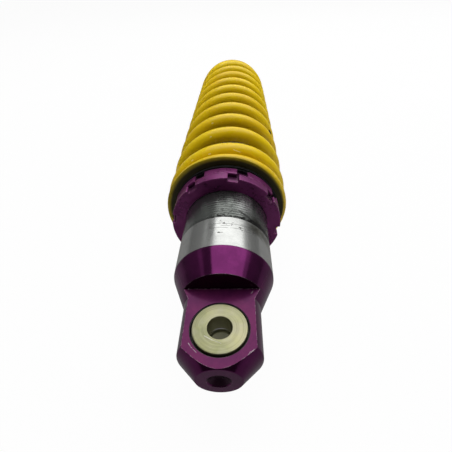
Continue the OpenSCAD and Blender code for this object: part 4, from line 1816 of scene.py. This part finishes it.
@dataclass
class DamperTube:
    """The tube: a smooth lower part and a long thread, worn flat below the rings."""

    finishes: Finishes
    outer_r: float = 25.0
    crest_r: float = 24.9
    root_depth: float = 0.45
    bore_r: float = 21.0
    bottom: float = 32.8
    step: float = 53.7
    top: float = 246.0
    chamfer: float = 0.7
    chamfer_r: float = 24.3
    groove_r: float = 22.1
    groove_top: float = 2.3
    groove_bottom: float = 4.0
    thread_start: float = 54.2
    thread_end: float = 245.2
    pitch: float = 2.0
    tooth: tuple[float, ...] = (0.0, 0.15, 0.65, 1.0, 1.0, 0.65, 0.15, 0.0)
    thread_depth: float = 0.42
    worn_depth: float = 0.045
    worn_end: float = 94.0
    columns: int = 120

    def _thread_mesh(self) -> bpy.types.Mesh:
        """Winds the thread's surface from above the step to below the tube's top.

        Returns:
            The mesh.
        """
        start, end = self.thread_start, self.thread_end
        rows_per_turn = len(self.tooth)
        rows = int((end - start) / self.pitch * rows_per_turn) + rows_per_turn * 2
        build = bmesh.new()
        grid: list[list[bmesh.types.BMVert]] = []
        for column in range(self.columns + 1):
            turn = column / self.columns
            line = []
            for row in range(rows):
                height = start + self.pitch * (row / rows_per_turn - 1 + turn)
                share = self.tooth[row % rows_per_turn]
                if height <= start or height >= end:
                    share = 0.0 if height >= end else 1.0
                depth = self.worn_depth if height < self.worn_end else self.thread_depth
                radius = self.crest_r - depth * (1 - share)
                height = min(max(height, start), end)
                line.append(build.verts.new((*on_circle(radius * MM, 2 * math.pi * turn),
                                             height * MM)))
            grid.append(line)
        for here, there in zip(grid, grid[1:]):
            bridge(build, here, there, [rows - 1])
        bmesh.ops.remove_doubles(build, verts=build.verts, dist=SEAM)
        bmesh.ops.dissolve_degenerate(build, edges=build.edges, dist=1e-6)
        return store(build, bpy.data.meshes.new("thread"))

    def build(self) -> None:
        """Makes the tube with its two finishes."""
        finishes = self.finishes
        root_r = self.crest_r - self.root_depth
        groove_top, groove_bottom = self.top - self.groove_top, self.top - self.groove_bottom
        made = lathe("damper_tube_piece", [
            (self.bore_r, self.bottom, 0.2), (self.outer_r, self.bottom, 0.15),
            (self.outer_r, self.step, 0.12), (root_r, self.step + self.root_depth, 0.1),
            (root_r, self.top - self.chamfer, 0.0), (self.chamfer_r, self.top, 0.3),
            (self.bore_r, self.top, 0.3), (self.bore_r, groove_top, 0),
            (self.groove_r, groove_top, 0), (self.groove_r, groove_bottom, 0),
            (self.bore_r, groove_bottom, 0)], 192)
        thread = add_object("thread", self._thread_mesh())
        for part in (made, thread):
            part.data.materials.append(finishes.tube.material)
            part.data.materials.append(finishes.thread.material)
        for face in made.data.polygons:
            outside = Vector(face.center[:2]).length > (self.crest_r - 0.7) * MM
            if outside and face.center.z > (self.step + 0.05) * MM:
                face.material_index = 1
        for face in thread.data.polygons:
            face.material_index = 1
        finish_normals(thread.data, 50)
        with bpy.context.temp_override(active_object=made,
                                       selected_editable_objects=[made, thread]):
            bpy.ops.object.join()
        fit_piece(made, "damper_body", finishes.tube, "damper_tube")


@dataclass
class DamperHead:
    """Guide, seals and retaining ring in the tube's top, and what floats below."""

    finishes: Finishes
    wiper_profile: tuple[Corner, ...] = (
        (8.06, 239.4, 0), (11.98, 239.4, 0.2), (11.98, 242.0, 0.3), (10.2, 242.0, 0.5),
        (8.9, 244.4, 0.25), (8.06, 244.4, 0.1))

    def build(self) -> None:
        """Dresses the pieces, most of them inside the tube, and makes the wiper."""
        finishes = self.finishes
        dress_nodes(finishes.aluminium, "rod_guide", "gas_piston", "main_piston")
        dress_nodes(finishes.bronze, "rod_guide_bush", "piston_band")
        dress_nodes(finishes.rubber, "rod_guide_ring", "rod_seal", "gas_piston_ring",
                    "topout_spacer")
        dress_nodes(finishes.dark_steel, "guide_circlip", "topout_washer", "piston_nut")
        dress_nodes(finishes.steel, "compression_shims", "rebound_shims")
        wiper = lathe("rod_wiper_piece", self.wiper_profile, 128)
        fit_piece(wiper, "damper_body", finishes.rubber, "rod_wiper")


@dataclass
class PreloadRings:
    """Lock ring and preload collar with spanner notches, and the seat on them."""

    finishes: Finishes
    outer_r: float = 33.3
    bore_r: float = 24.96
    height: float = 5.8
    lock_z: float = 77.9
    lock_turn: float = 9.2
    collar_turn: float = 18.4
    notches: int = 8
    notch_width: float = 6.1
    notch_depth: float = 2.3
    notch_lip_r: float = 0.62
    notch_root_r: float = 0.35
    edge_r: float = 0.5
    edge_steps: int = 4
    bore_edge: float = 0.3
    arc_start: float = 7.8
    arc_points: int = 15
    bore_points: int = 24
    seat_profile: tuple[Corner, ...] = (
        (25.2, 91.0, 0.3), (33.3, 91.0, 0.4), (33.3, 92.9, 0.4), (28.2, 92.9, 0),
        (28.2, 98.4, 1.0), (27.4, 99.9, 0.5), (25.2, 99.9, 0.4))

    def _outline(self, inset: float, first_turn: float) -> list[Point]:
        """Traces the notched outside of a ring, moved inwards.

        Args:
            inset: How far inwards, in millimetres.
            first_turn: Turn of the first notch from the front, in degrees.

        Returns:
            Points of (x, y) in metres, the same number for every inset.
        """
        outer = self.outer_r - inset
        floor = self.outer_r - self.notch_depth - inset
        half = self.notch_width / 2 + inset
        shoulder = math.sqrt(outer * outer - half * half)
        lip_r, root_r = self.notch_lip_r - inset, self.notch_root_r + inset
        pitch = 2 * math.pi / self.notches
        arc_start = math.radians(self.arc_start)
        corners: list[Corner] = []
        for index in range(self.notches):
            turn = math.radians(first_turn - 90) + pitch * index
            cos, sin = math.cos(turn), math.sin(turn)
            for u, v, size in ((shoulder, -half, lip_r), (floor, -half, root_r),
                               (floor, half, root_r), (shoulder, half, lip_r)):
                corners.append((u * cos - v * sin, u * sin + v * cos, size))
            for step in range(self.arc_points):
                share = step / (self.arc_points - 1)
                angle = turn + arc_start + (pitch - 2 * arc_start) * share
                corners.append((*on_circle(outer, angle), 0))
        return fillet(corners)

    def _bore(self, inset: float, first_turn: float) -> list[Point]:
        """Traces the bore of a ring, its first point midway between two notches.

        Args:
            inset: How far into the metal, in millimetres.
            first_turn: Turn of the first notch from the front, in degrees.

        Returns:
            Points of (x, y) in metres, the same number for every inset.
        """
        count = self.notches * self.bore_points
        start = math.radians(first_turn - 90) - math.pi / self.notches
        radius = (self.bore_r + inset) * MM
        return [on_circle(radius, start + 2 * math.pi * step / count)
                for step in range(count)]

    def _levels(self, bottom: float, size: float) -> list[Point]:
        """Follows a ring's wall, rounded at both faces.

        Args:
            bottom: Height of the lower face.
            size: Radius of both edges.

        Returns:
            The inset and the height of each loop of the wall, from the lower face up.
        """
        levels = []
        for step in range(self.edge_steps + 1):
            turn = math.pi / 2 * step / self.edge_steps
            levels.append((size * (1 - math.sin(turn)), bottom + size * (1 - math.cos(turn))))
        top = bottom + self.height
        return levels + [(inset, bottom + top - height) for inset, height in reversed(levels)]

    def _ring(self, name: str, bottom: float, first_turn: float) -> bpy.types.Object:
        """Makes one notched ring.

        Args:
            name: Name of the piece.
            bottom: Height of the lower face.
            first_turn: Turn of the first notch from the front, in degrees.

        Returns:
            The ring.
        """
        build = bmesh.new()
        walls: list[list[list[bmesh.types.BMVert]]] = []
        for trace, size in ((self._outline, self.edge_r), (self._bore, self.bore_edge)):
            loops = []
            for inset, height in self._levels(bottom, size):
                loops.append([build.verts.new((x, y, height * MM))
                              for x, y in trace(inset, first_turn)])
            walls.append(loops)
            for here, there in zip(loops, loops[1:]):
                for index in range(len(here)):
                    after = (index + 1) % len(here)
                    build.faces.new((here[index], here[after], there[after], there[index]))
        for level in (0, -1):
            outside, inside = walls[0][level], walls[1][level]
            sector = len(outside) // self.notches
            middle = sector - (self.arc_points + 1) // 2
            for index in range(self.notches):
                first = middle + sector * (index - 1)
                outer = [outside[(first + step) % len(outside)] for step in range(sector + 1)]
                start = self.bore_points * index
                inner = [inside[(start + step) % len(inside)]
                         for step in range(self.bore_points, -1, -1)]
                build.faces.new(outer + inner)
        bmesh.ops.recalc_face_normals(build, faces=build.faces)
        mesh = store(build, bpy.data.meshes.new(name))
        finish_normals(mesh, 50)
        return weigh_normals(add_object(name, mesh))

    def build(self) -> None:
        """Makes the rings and the seat, and dresses the washer."""
        finishes = self.finishes
        fit_piece(self._ring("lock_ring_piece", self.lock_z, self.lock_turn), "lock_ring",
                  finishes.purple_rings, "lock_ring")
        collar = self._ring("preload_collar_piece", self.lock_z + self.height,
                            self.collar_turn)
        fit_piece(collar, "preload_collar", finishes.purple_rings, "preload_collar")
        seat = lathe("spring_seat_piece", self.seat_profile, 192)
        fit_piece(seat, "spring_seat", finishes.polymer, "spring_seat")
        dress_nodes(finishes.dark_steel, "thrust_washer")


@dataclass
class MainSpring:
    """Right-hand wound spring of round wire with closed and ground ends."""

    finishes: Finishes
    low: float = 92.9
    high: float = 354.0
    wire_r: float = 5.05
    outer_r: float = 39.45
    end_outer_r: float = 38.85
    end_turns: float = 0.7
    widening_turns: float = 0.9
    turns: float = 12.0
    closed_turns: float = 1.353
    closed_pitch: float = 9.5
    tip_sink: float = 3.9
    tip_turn: float = 135.0
    blend: float = 0.12
    edge_r: float = 0.35
    travel: float = 70.0
    rings_per_turn: int = 72
    around: int = 28

    def _half_rise(self, turns: float) -> float:
        """Follows the wire up the lower half of the spring.

        Args:
            turns: Turns from the tip.

        Returns:
            Height of the wire's middle over the ground face.
        """
        half = self.turns / 2
        open_rise = (self.high - self.low) / 2 + self.tip_sink - self.closed_pitch * half
        extra = open_rise / (half - self.closed_turns)
        x = turns - self.closed_turns
        ramp = 0.0 if x <= -self.blend else x
        if -self.blend < x < self.blend:
            ramp = (x + self.blend) ** 2 / (4 * self.blend)
        return -self.tip_sink + self.closed_pitch * turns + extra * ramp

    def _height(self, turns: float) -> float:
        """Follows the wire up the whole spring.

        Args:
            turns: Turns from the lower tip.

        Returns:
            Height of the wire's middle.
        """
        if turns <= self.turns / 2:
            return self.low + self._half_rise(turns)
        return self.high - self._half_rise(self.turns - turns)

    def _coil_r(self, turns: float) -> float:
        """Widens the coil from the closed end turns to the open ones.

        Args:
            turns: Turns from the lower tip.

        Returns:
            Radius of the wire's middle.
        """
        nearer = min(turns, self.turns - turns)
        share = min(max((nearer - self.end_turns) / self.widening_turns, 0.0), 1.0)
        share = share * share * (3 - 2 * share)
        return self.end_outer_r + (self.outer_r - self.end_outer_r) * share - self.wire_r

    def _section(self, middle: float) -> list[Point]:
        """Rounds the section of the wire, cut by the two ground faces.

        Args:
            middle: Height of the wire's middle.

        Returns:
            Points of (distance outwards from the wire's middle, height).
        """
        core = self.wire_r - self.edge_r
        floor = self.low + self.edge_r - middle
        roof = self.high - self.edge_r - middle
        points = []
        quarter = self.around // 4
        turns = [k / self.around for k in range(self.around)]
        turns.insert(3 * quarter, 0.75)
        turns.insert(quarter, 0.25)
        for index, share in enumerate(turns):
            cos, sin = on_circle(1.0, 2 * math.pi * share)
            x, z = core * cos, core * sin
            side = -1 if quarter < index <= 3 * quarter + 1 else 1
            for limit, past in ((floor, z < floor), (roof, z > roof)):
                if past:
                    z = limit
                    x = math.sqrt(max(core * core - limit * limit, 0.0)) * side
            points.append((x + self.edge_r * cos, middle + z + self.edge_r * sin))
        return points

    def build(self) -> None:
        """Sweeps the section along the coil."""
        build = bmesh.new()
        rings = []
        for step in range(int(self.turns * self.rings_per_turn) + 1):
            turns = step / self.rings_per_turn
            angle = math.radians(self.tip_turn - 90 + 360 * turns)
            ring = []
            for out, height in self._section(self._height(turns)):
                radius = (self._coil_r(turns) + out) * MM
                ring.append(build.verts.new((*on_circle(radius, angle), height * MM)))
            rings.append(ring)
        for here, there in zip(rings, rings[1:]):
            bridge(build, here, there)
        build.faces.new(rings[0])
        build.faces.new(list(reversed(rings[-1])))
        bmesh.ops.remove_doubles(build, verts=build.verts, dist=WELD)
        bmesh.ops.recalc_face_normals(build, faces=build.faces)
        mesh = store(build, bpy.data.meshes.new("main_spring_piece"))
        finish_normals(mesh, 38)
        made = add_object("main_spring_piece", mesh)
        fit_piece(made, "spring_seat", self.finishes.paint, "main_spring")
        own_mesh(made)


@dataclass
class UpperSeat:
    """The retainer on the rod eye that the spring's upper end bears on."""

    finishes: Finishes
    profile: tuple[Corner, ...] = (
        (22.06, 344.0, 0.4), (27.3, 344.0, 0.5), (28.2, 346.0, 0.8), (28.2, 354.0, 0),
        (33.3, 354.0, 0.5), (33.3, 359.0, 0.4), (32.3, 360.0, 0.4), (22.06, 360.0, 0.3))

    def build(self) -> None:
        """Turns the retainer."""
        made = lathe("spring_retainer_piece", self.profile, 192)
        fit_piece(made, "upper_seat", self.finishes.purple, "spring_retainer")


@dataclass
class RodTop:
    """Rod, bump stop with its washer, and the lock nut under the rod eye."""

    finishes: Finishes
    stop_bottom: float = 318.0
    stop_profile: tuple[Corner, ...] = (
        (8.3, 0.0, 0.6), (11.5, 0.0, 1.2), (14.6, 2.0, 1.4), (17.6, 6.2, 2.6),
        (13.6, 11.0, 2.2), (18.0, 16.2, 2.8), (14.4, 21.4, 1.8), (17.6, 24.4, 0.8),
        (17.2, 26.0, 0.5), (8.3, 26.0, 0.3))

    def build(self) -> None:
        """Makes the ribbed bump stop and dresses the rod."""
        finishes = self.finishes
        corners = [(r, self.stop_bottom + h, size) for r, h, size in self.stop_profile]
        stop = lathe("bump_stop_piece", corners, 144, steps=8)
        fit_piece(stop, "rod", finishes.foam, "bump_stop")
        dress_nodes(finishes.chrome, "damper_rod")
        dress_nodes(finishes.dark_steel, "bump_washer", "rod_lock_nut")


@dataclass
class Adjuster:
    """Rebound knob on its spindle in the rod eye, and the needle below it."""

    finishes: Finishes
    axis_z: float = 379.0
    inner_x: float = 23.57
    length: float = 7.4
    bore_r: float = 2.42
    knob_r: float = 6.5
    grips: int = 20
    grip_r: float = 0.8
    grip_out: float = 0.35
    grip_start: float = 1.4

    def _knob(self) -> bpy.types.Object:
        """Turns the knob and cuts its grip.

        Returns:
            The knob.
        """
        outer_x = self.inner_x + self.length
        made = turned("rebound_knob_piece", [
            (self.bore_r, self.inner_x, 0.15), (self.knob_r, self.inner_x, 0.5),
            (self.knob_r, outer_x, 0.8), (self.bore_r, outer_x, 0.4)], 120, Turn.X)
        cutters = []
        for index in range(self.grips):
            y, z = on_circle(self.knob_r + self.grip_out, 2 * math.pi * index / self.grips)
            cutters.append(rod_cutter((self.inner_x + self.grip_start, y, z),
                                      (outer_x + 2, y, z), self.grip_r, 20))
        cut(made, cutters)
        lift(made, self.axis_z)
        return soften(made, 0.18, 35, 2)

    def build(self) -> None:
        """Makes the knob and dresses the spindle and needle."""
        finishes = self.finishes
        fit_piece(self._knob(), "rebound_knob", finishes.purple, "rebound_knob")
        dress_nodes(finishes.steel, "adjuster_spindle", "adjuster_needle")


# --------------------------------------------------------------------------- studio


@dataclass(frozen=True)
class Softbox:
    """A rectangular lamp whose face has an even brightness, in metres."""

    name: str
    centre: Place
    target: Place
    size: tuple[float, float]
    level: float
    glossy: bool = True

    def build(self) -> None:
        """Adds the lamp, which the camera doesn't see."""
        data = bpy.data.lights.new(self.name, "AREA")
        data.shape = "RECTANGLE"
        data.size, data.size_y = self.size
        data.energy = self.level * math.pi * self.size[0] * self.size[1]
        made = bpy.data.objects.new(self.name, data)
        made.visible_glossy = self.glossy
        made.visible_camera = False
        bpy.context.collection.objects.link(made)
        made.location = self.centre
        aim = Vector(self.target) - Vector(self.centre)
        made.rotation_mode = "QUATERNION"
        made.rotation_quaternion = aim.to_track_quat("-Z", "Y")


@dataclass
class Studio:
    """Camera, soft overhead light, pale floor and world."""

    lens: float = 24.51
    sensor: float = 36.0
    place: Place = (9.077, -119.650, -69.859)
    right: Place = (0.9987362, 0.0407965, 0.02935386)
    up: Place = (0.01305849, -0.77462542, 0.63228548)
    back: Place = (0.04853328, -0.63110309, -0.77417919)
    lamps: tuple[Softbox, ...] = (
        Softbox("overhead", (0.30, -0.9, 0.80), (0.30, 0.0, 0.80), (1.40, 1.80), 1.25),
        Softbox("overhead_edge", (1.20, -0.9, 0.80), (1.20, 0.0, 0.80), (0.40, 1.80), 0.4),
        Softbox("side_strip", (-0.98, -0.9, 0.80), (-0.98, 0.0, 0.80), (0.30, 1.80), 0.2),
        Softbox("soft_fill", (0.15, -1.3, 0.70), (0.1, 0.0, 0.45), (1.5, 2.1), 1.8, False),
    )
    floor_y: float = 39.8
    floor_size: float = 12.0
    floor_light: Color = (0.74, 0.74, 0.74)
    floor_dark: Color = (0.70, 0.70, 0.70)
    floor_in_gloss: Color = (0.17, 0.17, 0.17)
    floor_white: float = 0.965
    floor_glow_in_gloss: float = 0.08
    room_level: Span = (-1.0, 0.4, 0.24, 0.12)
    behind_level: Span = (0.05, 0.6, 0.0, 0.2)
    near_level: Span = (-0.6, 0.4, 0.25, 1.0)

    def camera(self) -> None:
        """Makes the camera."""
        data = bpy.data.cameras.new("camera")
        data.lens = self.lens
        data.sensor_width = self.sensor
        data.clip_start = 0.005
        data.clip_end = 50.0
        made = bpy.data.objects.new("camera", data)
        bpy.context.collection.objects.link(made)
        turn = Matrix((self.right, self.up, self.back)).transposed().to_4x4()
        made.matrix_world = Matrix.Translation(Vector(self.place) * MM) @ turn
        bpy.context.scene.camera = made

    def lights(self) -> None:
        """Adds the overhead softbox with its strips, and a fill that gloss doesn't show."""
        for lamp in self.lamps:
            lamp.build()

    def _floor_material(self) -> bpy.types.Material:
        """Makes the floor's material, white to the camera and clear from behind.

        Returns:
            The material.
        """
        made = bpy.data.materials.new("pale_floor")
        made.use_nodes = True
        g = Graph(made.node_tree)
        g.tree.nodes.clear()
        end = g.node("ShaderNodeOutputMaterial")
        camera, glossy = g.seen()
        tone = g.span(g.noise(g.place(), 0.01, 3.0, 0.5), 0.3, 0.7)
        color = g.mix(tone, self.floor_dark, self.floor_light)
        pale = g.node("ShaderNodeBsdfDiffuse")
        g.feed(g.mix(glossy, color, self.floor_in_gloss), pale.inputs["Color"])
        glow = g.node("ShaderNodeEmission")
        lit = g.node("ShaderNodeMixShader")
        share = g.most(g.times(camera, self.floor_white),
                       g.times(glossy, self.floor_glow_in_gloss))
        clear = g.node("ShaderNodeBsdfTransparent")
        sided = g.node("ShaderNodeMixShader")
        behind = g.node("ShaderNodeNewGeometry").outputs["Backfacing"]
        for mixer, parts in ((lit, (share, pale.outputs[0], glow.outputs[0])),
                             (sided, (behind, lit.outputs[0], clear.outputs[0]))):
            for socket, part in zip(mixer.inputs, parts):
                g.feed(part, socket)
        g.feed(sided.outputs[0], end.inputs["Surface"])
        return made

    def floor(self) -> None:
        """Adds the pale floor, open from behind."""
        build = bmesh.new()
        bmesh.ops.create_grid(build, x_segments=1, y_segments=1, size=self.floor_size)
        made = add_object("floor", store(build, bpy.data.meshes.new("floor")))
        made.rotation_euler = (math.pi / 2, 0, 0)
        made.location = (0, self.floor_y * MM, 0)
        made.data.materials.append(self._floor_material())

    def world(self) -> None:
        """Makes a dim room above the floor, with a white background behind all."""
        made = bpy.data.worlds.new("room")
        made.use_nodes = True
        bpy.context.scene.world = made
        g = Graph(made.node_tree)
        g.tree.nodes.clear()
        end = g.node("ShaderNodeOutputWorld")
        _, along, up = g.split(g.node("ShaderNodeTexCoord").outputs["Generated"])
        level = g.times(g.plus(g.span(along, *self.room_level),
                               g.span(along, *self.behind_level)),
                        g.span(up, *self.near_level))
        camera, _ = g.seen()
        light = g.node("ShaderNodeBackground")
        g.supply(light, {"Color": (1.0, 1.0, 1.0), "Strength": g.most(camera, level)})
        g.feed(light.outputs[0], end.inputs["Surface"])

    def build(self) -> None:
        """Makes the whole studio."""
        self.camera()
        self.lights()
        self.floor()
        self.world()
        bpy.context.scene.view_settings.view_transform = "Standard"


def main() -> None:
    """Builds the studio, then the strut's pieces in order."""
    logging.basicConfig(level=logging.INFO, format="%(message)s")
    Studio().build()
    finishes = Finishes()
    BodyEye(finishes).build()
    EyeBearing(finishes, "body", "damper_body", 0.0).build()
    DamperTube(finishes).build()
    DamperHead(finishes).build()
    PreloadRings(finishes).build()
    MainSpring(finishes).build()
    UpperSeat(finishes).build()
    RodTop(finishes).build()
    RodEye(finishes).build()
    EyeBearing(finishes, "rod", "rod", 400.0).build()
    Adjuster(finishes).build()


if __name__ == "__main__":
    main()
